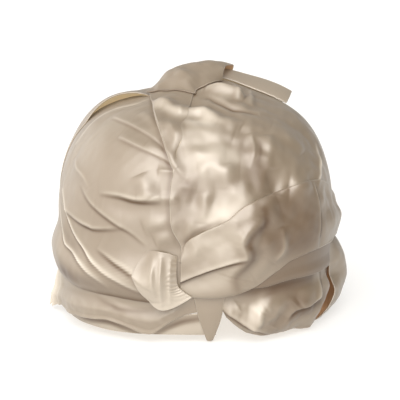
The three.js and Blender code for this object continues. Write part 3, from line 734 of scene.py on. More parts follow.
SWELL = Values(across=16, up=92, height=6, spread=18)


def crown_swell(spots):
    """Swell of the crown under the roll: a round bump, height times exp(-(distance / spread) squared)."""
    distance = np.hypot(spots[..., 0] - SWELL.across, spots[..., 1] - SWELL.up)
    return SWELL.height * np.exp(-((distance / SWELL.spread) ** 2))


def over_back(spots):
    """How far the right panel rises where it runs on over the back panel, past the sides and the crown."""
    return RIGHT.back_lap * layer() * smoothstep(*RIGHT.over_back, np.hypot(spots[..., 0], spots[..., 1]))


def from_leading_edge(spots):
    """Degrees to the right of the leading edge."""
    edge = np.array(LEADING_EDGE)
    return spots[..., 0] - np.interp(spots[..., 1], edge[:, 1], edge[:, 0])


def right_form(spots):
    """Height and sideways shift of the right panel at any map spot: its laps over the left and back panels,
    the swell, and its folds, clear of the laps."""
    across, up = spots[..., 0], spots[..., 1]
    inside = from_leading_edge(spots)
    knot = 1 + RIGHT.knot_lap * fade(*RIGHT.beside_knot, up)
    over_left = (layer() * knot + left_form(spots)[0]) * fade(*RIGHT.over_left, inside)
    shown = smoothstep(*RIGHT.folds_from, inside) * fade(*RIGHT.beside_back, across)
    shown = shown * fade(*RIGHT.folds_to, np.hypot(across, up))
    folds, shift = folds_at(RIGHT_FOLDS, spots)
    soft = crumples(RIGHT.slack, spots)
    lift = np.maximum(over_back(spots), over_left) + crown_swell(spots) + shown * (folds + soft)
    return lift, shift * shown[..., None]


def crown_right():
    """Right front panel: slack and folded all over; its leading edge laps over the left panel.

    right_form gives its height everywhere."""
    p = Patch(
        bottom=[(-5.3, -2.5), (2, 1), (10.5, 6), (18.5, 11), (33, 16), (47, 18), (62, 15.5), (82, 7),
                (98, 1)],
        top=[(-29, 86), (-12, 95), (10, 99), (32, 97), (48, 88), (61, 76), (76, 64), (91, 48), (98, 36)],
        left=LEADING_EDGE[:-1],
        right=[(101, 18)],
        columns=235, rows=195)
    lift, shift = right_form(p.spots)
    tone = tone_at(RIGHT_TONES, p.spots)
    return make_sheet("crown_right", p, lift, shift=shift, tone=tone)


# Back panel

NAPE = Values(
    gathers=15,
    height=3.4,
    across=(0.12, 0.88),  # u
    up=(0, 0.75),  # v
    wander=Slack(0.016, 31, 60),  # height as a share of the width
)
MOUTH = Values(
    height=6,
    across=(-68, -30),
    lip=(0.78, 1),  # v
)
OVER_LEFT = Values(
    lap=0.8,
    out=(64, 74),  # from the middle of the back
    before_crown=(-38, -31),  # across
    above_corner=(-44, -34),  # up
)
BACK_SLACK = Slack(1.3, 33, 85)
BACK_SLACK_WITHIN = (58, 76)  # from the middle of the back


def crown_back():
    """Back panel: one bag from side to side, gathered at the nape, with a shallow mouth over the left panel.

    The gathers are a cosine across the width that wanders with the height; the slack is broad waves only."""
    p = Patch(
        bottom=[(-88.5, -60.5), (-73, -48.5), (-52, -36.7), (-27, -31.3), (0, -31.3), (27, -31.3),
                (52, -36.7), (73, -48.5), (99, -73)],
        top=[(-86, 27), (-78, 45), (-68, 60), (-57, 71.5), (-47, 80), (-36, 87), (-22, 90), (0, 91),
             (24, 91), (45, 84), (62, 71), (77, 53), (86, 34), (92, 18), (104, 3), (120, -12), (124, -37)],
        left=[(-98, -43), (-90, -24), (-87, -4)],
        right=[(111, -59)],
        columns=240, rows=130)
    out = np.hypot(p.across, p.up)
    nape = arch(share_of(NAPE.across, p.u)) * fade(*NAPE.up, p.v)
    points = point_at(p.spots, 0, BACK)
    wander = NAPE.wander.height * waves(points, NAPE.wander.seed, NAPE.wander.wavelength) * p.v
    gathers = NAPE.height * (0.5 + 0.5 * np.cos(2 * np.pi * NAPE.gathers * (p.u + wander)))
    beside = fade(*OVER_LEFT.before_crown, p.across) * smoothstep(*OVER_LEFT.above_corner, p.up)
    over_left = OVER_LEFT.lap * layer() * smoothstep(*OVER_LEFT.out, out) * beside
    mouth = MOUTH.height * arch(share_of(MOUTH.across, p.across)) * smoothstep(*MOUTH.lip, p.v)
    soft = BACK_SLACK.height * waves(points, BACK_SLACK.seed, BACK_SLACK.wavelength)
    lift = gathers * nape + over_left + mouth + soft * fade(*BACK_SLACK_WITHIN, out)
    return make_sheet("crown_back", p, lift, side=BACK)


# Facing, roll and back pleat

FACING_FOLDS = [
    Fold("ridge", 6.0, 6, 0.6, 0.6, [(-21, 66), (-14, 65.5), (-9, 62), (-3, 60.5)]),
    Fold("ridge", 1.4, 5, 0.2, 0.2, [(-15, 50), (-10, 50), (-5, 48)]),
]
# A painted highlight line beside the facing's ridge.
FACING_TONES = [
    Fold("ridge", -0.4, 4, 0.6, 0.6, [(-18, 62.5), (-11.7, 60.4), (-7.5, 57), (-3, 56.9)]),
]
FACING = Values(
    bow=0.6,
    folds_across=0.35,  # exponent: less lets the folds run closer to the edges
    folds_up=(0.05, 0.2),  # v
    merged_across=(0.1, 1),  # u
    merged_up=(0.6, 0.74),  # v below which its right edge runs on into the right panel
    rises=(0, 0.4),  # v, from the seam's point to its full thickness
)
ROLL = Values(
    height=13.5,
    end_height=12,
    grows=(0.02, 0.42),  # v
    narrows=(0.75, 1),  # v
    off_facing=(0.12, 0.36),  # v, where it comes down from the facing onto the crown
    onto_right=(0, 0.35),  # u, from the back panel up onto the right one
    section=(0, 0.92, 1, 0.72, 0.03),  # share of the height at even steps across it
    slack=Slack(0.6, 51, 30),
    crease=(0, 0.03),  # v, at the fold from the facing
    # Painted shade along the fold from the facing, and on the reverse, which shows at the open end.
    crease_tone=0.55,
    inside_tone=0.6,
)


def edge_facing():
    """Turned facing of the leading edge: a flat strip that widens from a point at the seam up to the crown.

    The lower part of its right edge is pressed flat and runs on into the panel that it lies on. Elsewhere
    it lies one layer above that panel, with a low arch across u and its folds."""
    p = Patch(
        bottom=[(-7.4, 30.5), (-6, 32)],
        top=[(-28.8, 84), (-14, 83), (-0.6, 79.5)],
        left=[(-9, 34.5), (-13, 45), (-20, 62), (-26.5, 77)],
        right=[(-6.9, 38.5), (-4.8, 44), (-5.8, 50.5), (-3, 57.5), (-2.5, 67), (-1.5, 74)],
        columns=50, rows=130)
    folds = folds_at(FACING_FOLDS, p.spots)[0] * smoothstep(*FACING.folds_up, p.v)
    free = 1 - smoothstep(*FACING.merged_across, p.u) * fade(*FACING.merged_up, p.v)
    free = free * smoothstep(*FACING.rises, p.v)
    lying = right_form(p.spots)[0] + lerp(FEATHER_LIFT, layer(), free)
    lift = lying + free * (FACING.bow * arch(p.u) + folds * arch(p.u) ** FACING.folds_across)
    thickness = lerp(FEATHER, sizes().ply, free)
    tone = tone_at(FACING_TONES, p.spots)
    return make_sheet("edge_facing", p, lift, ply=thickness, tone=tone)


def crown_roll():
    """Crown roll: the facing's end, folded over the crown into a thick soft roll, open at its right end.

    Its height is a section curve across u times a height that grows along v, on the sheets below."""
    p = Patch(
        bottom=[(-29.4, 80.5), (-14, 79.5), (0.2, 76.5)],
        top=[(28.5, 107), (27, 101.5), (20, 96), (17.6, 89.5)],
        left=[(-29.5, 91), (-25, 100), (-13, 107), (6, 110)],
        right=[(2, 81), (11, 86)],
        columns=80, rows=110)
    tall = lerp(ROLL.height, ROLL.end_height, smoothstep(*ROLL.narrows, p.v))
    height = lerp(FACING.bow, tall, smoothstep(*ROLL.grows, p.v))
    panel = right_form(p.spots)[0]
    facing_seat = 2 * layer() + panel
    crown_seat = layer() + panel * smoothstep(*ROLL.onto_right, p.u)
    seat = lerp(facing_seat, crown_seat, smoothstep(*ROLL.off_facing, p.v))
    section = spline(np.array(ROLL.section)[:, None], p.u.ravel()).reshape(p.u.shape)
    soft = crumples(ROLL.slack, p.spots) * arch(p.u) * smoothstep(*ROLL.grows, p.v)
    tone = ROLL.crease_tone * fade(*ROLL.crease, p.v)
    return make_sheet("crown_roll", p, seat + height * section + soft, tone=tone, inside=ROLL.inside_tone)


PLEAT = Values(
    left_height=8,
    right_height=9,
    edge_height=0.3,
    grows=(0.2, 1),  # u
    top=0.7,  # v
    rear_seat=0.75,  # layers
    comes_down=(0.72, 1),  # v
    # A slight painted highlight over the whole pleat.
    tone=-0.15,
)


def back_pleat():
    """Pleat that stands up behind the right panel's top edge, from inside the roll to a free corner.

    It rises evenly along v to its full height, which grows along u, and comes down behind that."""
    p = Patch(
        bottom=[(15, 97), (24, 96.5), (36, 92), (48, 84), (60, 74)],
        top=[(16, 104), (25, 104), (40, 101), (54, 94), (67, 82)],
        columns=110, rows=36)
    standing = fade(*PLEAT.comes_down, p.v)
    seat = lerp(PLEAT.rear_seat * layer(), layer() + right_form(p.spots)[0], standing)
    height = lerp(PLEAT.left_height, PLEAT.right_height, smoothstep(*PLEAT.grows, p.u))
    rising = lerp(PLEAT.edge_height, height, np.minimum(p.v / PLEAT.top, 1))
    return make_sheet("back_pleat", p, seat + rising * standing, tone=PLEAT.tone)


# Drapes

DRAPE_FOLDS = [
    Fold("pleat", 4.2, 13, 0.9, 0, [(-5.4, -9.6), (1.2, -6.7), (10.3, -3), (18.5, -0.8)]),
    Fold("ridge", 5.0, 8, 0.6, 0.2, [(-4, -14.5), (5, -15.5), (14, -14.5), (22, -10.5)]),
    Fold("ridge", 6.0, 15, 0.6, 0.3, [(25, 21), (21, 9), (17, 1), (14, -8)]),
    Fold("ridge", 3.2, 3.6, 0, 0, [(22.5, 14), (22.5, 11), (18, 8.4), (16, 4.6), (17.4, 1), (17, -2),
                                   (13.6, -5.4), (11.8, -9)]),
    Fold("ridge", -2.4, 4, 0, 0, [(27.5, 12), (24, 7.5), (22.5, 3), (23.4, -1), (20, -6), (18, -12)]),
    Fold("crest", 3.0, 3.5, 0, 0, [(31.5, 9), (32, 1.1), (28.2, -4)]),
    Fold("pleat", 2.6, 12, 0.6, 0.6, [(50, 2), (50.2, 12), (49.2, 22)]),
    Fold("ridge", 3.5, 10, 0.5, 0.6, [(62, 7), (80, 4.5), (97, 1)]),
]
# Painted shading of the drape: painted shade over its right part and along the zigzag groove, painted
# highlight on the crest and on its left part below the pleat.
DRAPE_TONES = [
    Fold("ridge", 0.62, 15, 0.8, 0.8, [(29, 17), (38, 15), (46, 10)]),
    Fold("ridge", 0.65, 12, 0.8, 0.6, [(26, 5), (36, 2), (46, 2)]),
    Fold("ridge", 0.65, 2.8, 0.6, 0.6, [(24.5, 16), (25, 11), (20.6, 8.3), (18.6, 4.6), (20, 1), (19.8, -2),
                                        (16.4, -5.4), (14.4, -8.4), (15, -12)]),
    Fold("ridge", -0.5, 2.2, 0, 0, [(32, 6.1), (32.5, 1.1), (29, -3)]),
    Fold("ridge", 0.05, 16, 1, 0.2, [(52, 10), (60, 8), (72, 5)]),
    Fold("ridge", -0.2, 7, 0.9, 0.3, [(-2, -12), (8, -9), (17, -5)]),
    Fold("ridge", -0.25, 9, 0.8, 0.2, [(2, 3), (10, 5), (17, 8)]),
]
DRAPE = Values(
    belly=1,
    lower_half=(0.25, 0.85),  # v, from the bands' level to the crown's
    over_under=(34, 44),  # across, where the lower edge climbs onto the under drape's end
    beside_knot=(0.1, 0.3),  # u, where the upper edge comes down from the lap at the knot
    fold_reach=0.4,  # exponent: less lets the folds run closer to the edges
    slack=Slack(0.5, 71, 36),
)


def right_drape():
    """Right drape: the cross-over sheet, fanned out from the knot, over the lower part of the crown.

    Its height goes from the bands' level at the lower edge to the right panel's at the upper one, with a low
    arch along v, and with folds and slack that die away at both edges."""
    p = Patch(
        bottom=[(-5, -14.4), (0.1, -16), (10.6, -15.8), (20.8, -13), (29.4, -7.8), (38, -3.6), (52, -2.6),
                (64, -4), (80, -7), (97, -10)],
        top=[(-4.6, 1.6), (-1.4, 6.4), (10.5, 12.3), (18.5, 18), (33.4, 22.8), (46.8, 25), (62, 23.6),
             (82, 16), (98, 10)],
        columns=250, rows=90)
    upper = smoothstep(*DRAPE.lower_half, p.v)
    low = layer() * (2 + smoothstep(*DRAPE.over_under, p.across)) * (1 - upper) + over_back(p.spots)
    knot = fade(*DRAPE.beside_knot, p.u)
    high = layer() * (1 + knot) + right_form(p.spots)[0]
    folds, shift = folds_at(DRAPE_FOLDS, p.spots)
    reach = arch(p.v) ** DRAPE.fold_reach
    soft = crumples(DRAPE.slack, p.spots)
    lift = lerp(low, high, upper) + DRAPE.belly * arch(p.v) + reach * (folds + soft)
    tone = tone_at(DRAPE_TONES, p.spots) + crease_tone(DRAPE_FOLDS, p.spots)
    return make_sheet("right_drape", p, lift, shift=shift * reach[..., None], tone=tone)


OVER_CORNER = (36, 44)  # across
UNDER_DRAPE = Values(
    flare=2,  # of its lower edge, at the outer end
    flare_up=(0.1, 0.4),  # v
    bow=3,
    # Painted shade over the whole wedge, which lies under the drape.
    tone=0.6,
)


def over_corner(spots):
    """How far the pieces at the right band's outer end rise to lie over the back panel's front corner."""
    return layer() * smoothstep(*OVER_CORNER, spots[..., 0])


def under_drape():
    """Under drape: the ply that shows as a wedge below the right drape.

    It lies one layer up, with a flare that grows along u at its lower edge and a bow of v times 1 - v."""
    p = Patch(
        bottom=[(18, -13.4), (26, -13), (33.5, -11.8), (43, -11.8), (59, -13.6)],
        top=[(17, -10), (27, -4), (38, 0.6), (48, 1.4), (64, 0)],
        right=[(63.5, -7)],
        columns=100, rows=36)
    flare = UNDER_DRAPE.flare * p.u * fade(*UNDER_DRAPE.flare_up, p.v)
    bow = UNDER_DRAPE.bow * arch(p.u) * p.v * (1 - p.v)
    return make_sheet("under_drape", p, layer() + over_corner(p.spots) + flare + bow, tone=UNDER_DRAPE.tone)


# Bands and loop

RIGHT_BAND_FOLDS = [
    Fold("ridge", 3.2, 3.4, 0.1, 0.1, [(18.5, -29), (21, -25.2), (22.4, -22), (25, -20.4)]),
    Fold("ridge", 3.2, 3.4, 0.1, 0.3, [(24, -21.5), (26, -18.4), (28.5, -17), (32, -14.5)]),
    Fold("ridge", -3.0, 5, 0, 0.2, [(15, -19), (19, -17), (24, -15.5)]),
    Fold("ridge", -3.0, 5, 0, 0.2, [(28, -28), (32, -23.5), (36, -20.5)]),
    Fold("ridge", 3.0, 6, 0, 0.2, [(38, -21), (42, -19), (46, -16)]),
    Fold("pleat", 4.5, 9, 0.1, 0.3, [(33, -26), (36, -23.4), (41, -22.6), (46, -22.3), (49, -21.4),
                                     (51.5, -18.6), (52.4, -15), (51, -11.5)]),
    Fold("crest", 1.8, 2.5, 0.2, 0.2, [(26, -14.6), (36, -16.4), (47, -19.1)]),
    Fold("pleat", 2.8, 8, 0.6, 0.2, [(9.4, -21.2), (13.2, -23.2), (17.7, -26), (22.3, -28.4), (26, -30.4)]),
]
# Painted shading of the right band: painted shadow under the drape's lower edge and under the lip, painted
# highlight along the S-shaped ridges.
RIGHT_BAND_TONES = [
    Fold("ridge", 1.0, 5, 0.6, 0.8, [(17, -14), (26, -14.4), (34, -13.6), (46, -14)]),
    Fold("ridge", 0.8, 4, 0.4, 0.8, [(36, -25.5), (41, -24.8), (46, -24.4), (52, -23)]),
    Fold("ridge", 0.35, 7, 0.6, 0.6, [(25, -29), (31, -26), (36, -22)]),
    Fold("ridge", -0.12, 5, 0.6, 0.6, [(14, -19.5), (19, -22), (22, -26)]),
    Fold("ridge", 0.55, 6, 0.6, 0.6, [(35, -18.5), (39, -20.5), (42, -21)]),
    Fold("ridge", -0.4, 3, 0.4, 0.4, [(19.4, -25), (20.8, -21.4), (23, -19.6), (24.7, -16.4),
                                      (26.5, -15.4)]),
]
RIGHT_BAND = Values(
    belly=6.5,
    belly_across=0.95,  # share of the arch that the belly has run through at the free end
    belly_top=(0.35, 0.75),  # v
    belly_foot=(-0.15, 0.25),  # v
    free_end=5,
    free_across=(0.75, 1),  # u
    free_top=(0.45, 0.75),  # v
    folds_top=(0.5, 0.72),  # v
    folds_from=(0, 0.12),  # u
    slack=Slack(0.8, 91, 28),
)


def right_band():
    """Right band: the lower roll, whose outer end stands free in front of the side loop.

    Its belly is an arch along u that rises from the foot and dies away up v. The free end rises with u."""
    b = RIGHT_BAND
    p = Patch(
        bottom=[(11.5, -24.4), (19, -30.6), (28, -31.8), (37, -33), (44, -33.6)],
        top=[(7, -11.5), (17, -10.5), (28, -8), (40, -6.4), (54, -7.5)],
        left=[(8.5, -18)],
        right=[(47, -31), (50, -27.5), (57, -23), (58, -18), (56.5, -12)],
        columns=120, rows=80)
    belly = b.belly * arch(b.belly_across * p.u) * fade(*b.belly_top, p.v) * smoothstep(*b.belly_foot, p.v)
    free_end = b.free_end * smoothstep(*b.free_across, p.u) * fade(*b.free_top, p.v)
    folds, shift = folds_at(RIGHT_BAND_FOLDS, p.spots)
    open_part = fade(*b.folds_top, p.v) * smoothstep(*b.folds_from, p.u)
    soft = crumples(b.slack, p.spots)
    lift = over_corner(p.spots) + belly + free_end + open_part * (folds + soft)
    tone = tone_at(RIGHT_BAND_TONES, p.spots) + crease_tone(RIGHT_BAND_FOLDS, p.spots)
    return make_sheet("right_band", p, lift, shift=shift * open_part[..., None], tone=tone)


LOOP = Values(
    front_height=9,
    front_close=1.5,
    height=14.5,
    rear_height=2,
    rises=(0, 0.45),  # u
    front_open=(0.42, 0.62),  # v above which the front edge lies close
    narrows=(0.5, 1),  # u
    tucked_from=0.88,  # v above which it lies flat under the drape
    roundness=0.75,  # exponent of the arch: less is rounder
    slack=Slack(0.4, 101, 30),
    # Painted shade added on the reverse inside the loop.
    inside_tone=0.75,
)


def side_loop():
    """Side loop: the wrap's end turned into a hollow loop on the right, open to the front.

    Its height is an arch along v to a power, times a height that rises along u and falls again."""
    p = Patch(
        bottom=[(48.5, -36), (60, -39.8), (72, -45.5), (84, -52)],
        top=[(62.5, -1.4), (72, -1.8), (84, -3.6), (96, -6.5)],
        left=[(56, -32), (62.5, -24), (63.5, -13)],
        right=[(97, -30)],
        columns=90, rows=90)
    front = lerp(LOOP.front_height, LOOP.front_close, smoothstep(*LOOP.front_open, p.v))
    risen = lerp(front, LOOP.height, smoothstep(*LOOP.rises, p.u))
    height = lerp(risen, LOOP.rear_height, smoothstep(*LOOP.narrows, p.u))
    soft = crumples(LOOP.slack, p.spots) * arch(p.v)
    lift = layer() + height * arch(p.v / LOOP.tucked_from) ** LOOP.roundness + soft
    return make_sheet("side_loop", p, lift, inside=LOOP.inside_tone)


LEFT_BAND_FOLDS = [
    Fold("pleat", 1.6, 8, 0.1, 0.2, [(-37, -19), (-30.7, -20.2), (-25.7, -21.2), (-15.3, -21.4)]),
    Fold("crest", 1.4, 4, 0, 0, [(-62, -24), (-50, -22.5), (-40, -23)]),
]
LEFT_BAND = Values(
    belly=2.6,
    roundness=0.5,  # exponent of the arch from end to end: less is fuller at the ends
    belly_top=(0.3, 0.62),  # v
    lip=1.0,
    lip_up=(0.02, 0.14),  # v
    lip_across=(0.7, 0.84),  # u
    over_under=(44, 52),  # across, to the left
    under_panel=(0.3, 0.55),  # v
    under_tab=(0.82, 0.94),  # u
    folds_top=(0.35, 0.5),  # v
    flare=12,  # mm that the free end stands off
    flare_across=(0, 0.2),  # u
    flare_folds=1.6,  # mm
    flare_turns=3,
    # Painted highlight on the flared free end.
    flare_tone=-0.9,
    slack=Slack(0.35, 111, 30),
)


def left_band():
    """Left band: the lower roll on the left, under the left panel's pleats, running to the knot.

    Its belly is an arch along u to a power, with a lip at the foot. The outer end flares, with a cosine
    ripple along u that dies away up v."""
    b = LEFT_BAND
    p = Patch(
        bottom=[(-71, -42), (-66, -39.6), (-59, -35.6), (-47, -30.2), (-33, -26), (-26, -26.6), (-19, -29),
                (-14.5, -29), (-9, -25.4), (-4, -23.4), (3.5, -22)],
        top=[(-73, -24.5), (-67, -19.5), (-59, -15.8), (-48, -14), (-39, -13.4), (-30, -13), (-22, -13),
             (-14, -13.4), (-8, -13.6), (-4.6, -14), (3, -14.4)],
        columns=190, rows=50)
    lip = b.lip * fade(*b.lip_up, p.v) * fade(*b.lip_across, p.u)
    belly = (b.belly * fade(*b.belly_top, p.v) + lip) * arch(p.u) ** b.roundness
    seat = layer() * (1 + smoothstep(*b.over_under, -p.across))
    beside_tab = fade(*b.under_tab, p.u)
    folds, shift = folds_at(LEFT_BAND_FOLDS, p.spots)
    open_part = fade(*b.folds_top, p.v) * beside_tab
    soft = crumples(b.slack, p.spots)
    free = fade(*b.flare_across, p.u)
    ripple = b.flare_folds * np.cos(2 * np.pi * b.flare_turns * p.u / b.flare_across[1])
    flare = free * (lerp(b.flare, 2 * layer(), p.v) + ripple * (1 - p.v))
    lift = (seat + belly) * fade(*b.under_panel, p.v) * beside_tab + open_part * (folds + soft) + flare
    tone = b.flare_tone * free + crease_tone(LEFT_BAND_FOLDS, p.spots)
    return make_sheet("left_band", p, lift, shift=shift * open_part[..., None], tone=tone)


# Painted shadow lines under the left band's lower edge and a broad painted highlight below them.
UNDER_BAND_TONES = [
    Fold("ridge", 1.0, 1.9, 0.6, 0.6, [(-54, -33), (-45, -32), (-33, -28.6), (-26, -29.4), (-20, -31)]),
    Fold("ridge", 0.9, 1.9, 0.6, 0.6, [(-14, -30.8), (-9, -28), (-4, -26), (2, -25)]),
    Fold("ridge", -0.4, 8, 0.6, 1, [(-40, -32), (-10, -30), (4, -28)]),
]
UNDER_BAND_RISE = (50, 58)  # across, to the left, where its end lies over the back panel's corner


def under_band():
    """Under band: the inner turn that shows along the rim below the left band.

    It lies on the dome, and one layer higher at its left end."""
    p = Patch(
        bottom=[(-66, -44.4), (-44, -34.4), (-30, -31.8), (-15, -31.2), (0, -31.4), (7.5, -31.4)],
        top=[(-66, -35), (-50, -28.5), (-38, -25), (-30, -22.5), (-15, -24), (-5, -23.6), (7.5, -22.6)],
        columns=130, rows=26)
    lift = layer() * smoothstep(*UNDER_BAND_RISE, -p.across)
    return make_sheet("under_band", p, lift, tone=tone_at(UNDER_BAND_TONES, p.spots))


# Knot

POUCH_FOLDS = [
    Fold("crest", 2.6, 2.2, 0.4, 0.2, [(-15.2, 0), (-14.6, -6), (-13.6, -14)]),
    Fold("crest", 3.0, 2.2, 0.4, 0.2, [(-11.9, -1), (-11.6, -9), (-11.4, -18)]),
    Fold("crest", 2.4, 2.2, 0.4, 0.2, [(-8.6, -2), (-8.6, -9), (-8.6, -17.5)]),
]
POUCH = Values(
    lower_seat=2.9,  # layers
    upper_seat=1.2,
    belly=4.5,
    belly_up=(1.25, -0.75),  # v, where the belly's arch starts and ends
    belly_across=(-0.2143, 1.2143),  # u
    merged_up=(0.5, 0.8),  # v at the left, above which it runs on into the left panel
    merged_across=(0.05, 0.5),  # u at the top, up to which it does
    puckers=13,  # along the seam at the knot
    pucker_height=0.28,
    pucker_wander=Slack(0.035, 131, 14),  # height as a share of the length
    pucker_across=(0.76, 1.08),  # u
    # Painted highlight, strongest at the foot and fading towards the top.
    tone=(-0.55, -0.05),  # at the foot and at the top
)


def gathered_end():
    """Gathered end: the left panel's end, pulled through the knot and hanging over the band as a pouch.

    Its belly is an arch along u times one along v, with crests and, by the knot's seam, sine puckers. Its
    upper left part runs on into the left panel: there it thins out and lies on that panel's face."""
    p = Patch(
        bottom=[(-16.8, -15.4), (-13.9, -18.3), (-10.6, -19.2), (-6.2, -17.9), (-1.2, -15.2)],
        top=[(-17.5, 1.2), (-14, 1.4), (-10, 0.8), (-6.4, -0.6)],
        left=[(-19.7, -10.4), (-21.2, -5.4)],
        right=[(-3.8, -13.2), (-6.1, -10.4), (-6.5, -5)],
        columns=80, rows=90)
    free = 1 - smoothstep(*POUCH.merged_up, p.v) * fade(*POUCH.merged_across, p.u)
    seat = layer() * lerp(POUCH.lower_seat, POUCH.upper_seat, p.v)
    belly = POUCH.belly * arch(share_of(POUCH.belly_up, p.v)) * arch(share_of(POUCH.belly_across, p.u))
    wander = POUCH.pucker_wander
    uneven = wander.height * waves(point_at(p.spots, 0, FRONT), wander.seed, wander.wavelength)
    drawn = arch(share_of(POUCH.pucker_across, p.u)) * arch(p.v)
    puckers = POUCH.pucker_height * np.sin(2 * np.pi * POUCH.puckers * (p.v + uneven)) * drawn
    panel = left_form(p.spots)[0]
    hanging = np.maximum(seat, panel + layer()) + belly + puckers + folds_at(POUCH_FOLDS, p.spots)[0]
    merged = panel + FEATHER_LIFT
    lift = np.maximum(merged, lerp(merged, hanging, free))
    thickness = lerp(FEATHER, sizes().ply, free)
    tone = lerp(*POUCH.tone, p.v) * free
    return make_sheet("gathered_end", p, lift, ply=thickness, tone=tone)


TAB = Values(
    bow=0.8,
    under_drape=(0.6, 0.9),  # v
)


def front_tab():
    """Front tab: a pointed tongue that hangs from under the drape, just past the rim.

    It lies one layer up, with a low arch across u that dies away under the drape."""
    p = Patch(
        bottom=[(4.3, -33.2), (6.6, -33)],
        top=[(-0.6, -14.2), (11, -14.2)],
        left=[(1.6, -24.5)],
        right=[(9.6, -24)],
        columns=30, rows=46)
    lift = layer() + TAB.bow * arch(p.u) * fade(*TAB.under_drape, p.v)
    return make_sheet("front_tab", p, lift)


# Stage

AIM = (0, 0, 63)  # mm, the dome's centre, which the photograph shows at AIM_PIXEL
AIM_PIXEL = (194.7, 215)
IMAGE = 400  # pixels
ELEVATION = 15  # degrees
DISTANCE = 1500  # mm
VIEW_WIDTH = 312  # mm across the image at the aim
SENSOR = 36  # mm
FLOOR_HALF = 4.0  # metres
FLOOR_GLOW = 1.75  # of the light table that it is
FLOOR_ROUGHNESS = 0.8

# Patches on the studio's walls: the direction of the middle, degrees from it within which the patch is full
# and at which it ends, and its brightness.
Glow = namedtuple("Glow", "toward full ends strength")
WALL = 0.5
GLOWS = (
    Glow((0.35, 0.5, 0.79), 38, 75, 0.34),  # dim ceiling behind the bonnet
    Glow((-0.92, 0.35, 0.05), 20, 55, 1.9),  # white backdrop on the left
    Glow((-0.6, -0.68, 0.42), 25, 60, 1.4),  # pale screen on the left
    Glow((0.93, -0.35, 0.05), 38, 72, 0.04),  # unlit wall on the right
    Glow((-0.12, -0.96, 0.2), 9, 26, 3.1),  # lit window behind the camera
    Glow((-0.02, -0.62, 0.78), 11, 33, 6.1),  # soft box over the camera
)


def add_camera():
    """The photograph's view: from the front, a little above, through a long lens."""
    data = bpy.data.cameras.new("camera")
    data.sensor_width = SENSOR
    data.lens = SENSOR * DISTANCE / VIEW_WIDTH
    data.shift_x = (IMAGE / 2 - AIM_PIXEL[0]) / IMAGE
    data.shift_y = (AIM_PIXEL[1] - IMAGE / 2) / IMAGE
    camera = bpy.data.objects.new("camera", data)
    bpy.context.scene.collection.objects.link(camera)
    tilt = math.radians(ELEVATION)
    back = Vector((0, -math.cos(tilt), math.sin(tilt)))
    camera.location = (Vector(AIM) + DISTANCE * back) * MM
    camera.rotation_euler = (-back).to_track_quat("-Z", "Y").to_euler()
    bpy.context.scene.camera = camera


def add_floor():
    """A wide light table of opal glass just under the lowest tip: matt, and lit from within, so it looks
    white and takes only a faint shadow."""
    lowest = CAD_BOX[0].z - sizes().floor_gap * MM
    corners = [(x * FLOOR_HALF, y * FLOOR_HALF, lowest) for x, y in ((-1, -1), (1, -1), (1, 1), (-1, 1))]
    mesh = bpy.data.meshes.new("floor")
    mesh.from_pydata(corners, [], [(0, 1, 2, 3)])
    material = bpy.data.materials.new("opal glass light table")
    material.use_nodes = True
    shader = material.node_tree.nodes["Principled BSDF"]
    shader.inputs["Base Color"].default_value = linear(colours().floor)
    shader.inputs["Roughness"].default_value = FLOOR_ROUGHNESS
    shader.inputs["Emission Color"].default_value = linear(colours().floor)
    shader.inputs["Emission Strength"].default_value = FLOOR_GLOW
    mesh.materials.append(material)
    floor = bpy.data.objects.new("floor", mesh)
    bpy.context.scene.collection.objects.link(floor)


def add_walls():
    """Studio walls: an even pale room with patches of light and shade for the satin to mirror."""
    world = bpy.data.worlds.new("studio")
    bpy.context.scene.world = world
    bpy.context.scene.view_settings.view_transform = "Standard"
    world.use_nodes = True
    tree = world.node_tree
    tree.nodes.clear()
    view = add_node(tree, "ShaderNodeTexCoord")
    brightness = WALL
    for glow in GLOWS:
        toward = Vector(glow.toward).normalized()
        nearness = add_node(tree, "ShaderNodeVectorMath", {"operation": "DOT_PRODUCT"}, {
            0: view.outputs["Generated"], 1: toward})
        share = add_node(tree, "ShaderNodeMapRange", {"interpolation_type": "SMOOTHSTEP"}, {
            "Value": nearness.outputs["Value"], "From Min": math.cos(math.radians(glow.ends)),
            "From Max": math.cos(math.radians(glow.full))})
        blend = add_node(tree, "ShaderNodeMix", inputs={
            0: share.outputs["Result"], 2: brightness, 3: glow.strength})
        brightness = blend.outputs[0]
    lit = add_node(tree, "ShaderNodeBackground", inputs={
        "Color": linear(colours().sky), "Strength": brightness})
    add_node(tree, "ShaderNodeOutputWorld", inputs={"Surface": lit.outputs["Background"]})


# Operators

class BONNET_OT_crown(bpy.types.Operator):
    """Make the left, right and back panels of the crown"""

    bl_idname = "bonnet.crown"
    bl_label = "Crown panels"

    def execute(self, context):
        crown_left()
        crown_right()
        crown_back()
        return {"FINISHED"}


class BONNET_OT_roll(bpy.types.Operator):
    """Make the turned facing, the roll over the crown and the pleat behind it"""

    bl_idname = "bonnet.roll"
    bl_label = "Facing, roll and back pleat"

    def execute(self, context):
        edge_facing()
        crown_roll()
        back_pleat()
        return {"FINISHED"}


class BONNET_OT_drape(bpy.types.Operator):
    """Make the right drape and the ply under it"""

    bl_idname = "bonnet.drape"
    bl_label = "Drapes"

    def execute(self, context):
        right_drape()
        under_drape()
        return {"FINISHED"}


class BONNET_OT_bands(bpy.types.Operator):
    """Make the bands round the rim"""

    bl_idname = "bonnet.bands"
    bl_label = "Rim bands"

    def execute(self, context):
        right_band()
        left_band()
        under_band()
        return {"FINISHED"}


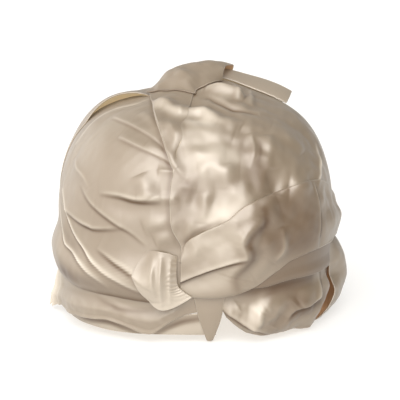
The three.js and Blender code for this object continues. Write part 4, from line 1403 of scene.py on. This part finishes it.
class BONNET_OT_loop(bpy.types.Operator):
    """Make the free loop on the right side"""

    bl_idname = "bonnet.loop"
    bl_label = "Side loop"

    def execute(self, context):
        side_loop()
        return {"FINISHED"}


class BONNET_OT_knot(bpy.types.Operator):
    """Make the gathered end and the tab at the knot"""

    bl_idname = "bonnet.knot"
    bl_label = "Knot"

    def execute(self, context):
        gathered_end()
        front_tab()
        return {"FINISHED"}


class BONNET_OT_stage(bpy.types.Operator):
    """Make the camera, the lit walls and the floor"""

    bl_idname = "bonnet.stage"
    bl_label = "Stage"

    def execute(self, context):
        add_camera()
        add_floor()
        add_walls()
        return {"FINISHED"}


PIECE_OPERATORS = (
    BONNET_OT_stage, BONNET_OT_crown, BONNET_OT_roll, BONNET_OT_drape, BONNET_OT_bands, BONNET_OT_loop,
    BONNET_OT_knot)


class BONNET_PT_panel(bpy.types.Panel):
    """Lists the sizes, the colours and the pieces"""

    bl_idname = "BONNET_PT_panel"
    bl_label = "Sleep bonnet"
    bl_space_type = "VIEW_3D"
    bl_region_type = "UI"
    bl_category = "Bonnet"

    def draw(self, context):
        for group in (context.scene.bonnet_sizes, context.scene.bonnet_colours):
            for key in group.__annotations__:
                self.layout.prop(group, key)
        for operator in PIECE_OPERATORS:
            self.layout.operator(operator.bl_idname)


CLASSES = (BonnetSizes, BonnetColours, *PIECE_OPERATORS, BONNET_PT_panel)


def register():
    for cls in CLASSES:
        bpy.utils.register_class(cls)
    bpy.types.Scene.bonnet_sizes = bpy.props.PointerProperty(type=BonnetSizes)
    bpy.types.Scene.bonnet_colours = bpy.props.PointerProperty(type=BonnetColours)


def unregister():
    del bpy.types.Scene.bonnet_colours
    del bpy.types.Scene.bonnet_sizes
    for cls in reversed(CLASSES):
        bpy.utils.unregister_class(cls)


def main():
    register()
    bpy.ops.bonnet.stage()
    bpy.ops.bonnet.crown()
    bpy.ops.bonnet.roll()
    bpy.ops.bonnet.drape()
    bpy.ops.bonnet.bands()
    bpy.ops.bonnet.loop()
    bpy.ops.bonnet.knot()
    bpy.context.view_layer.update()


if __name__ == "__main__":
    main()
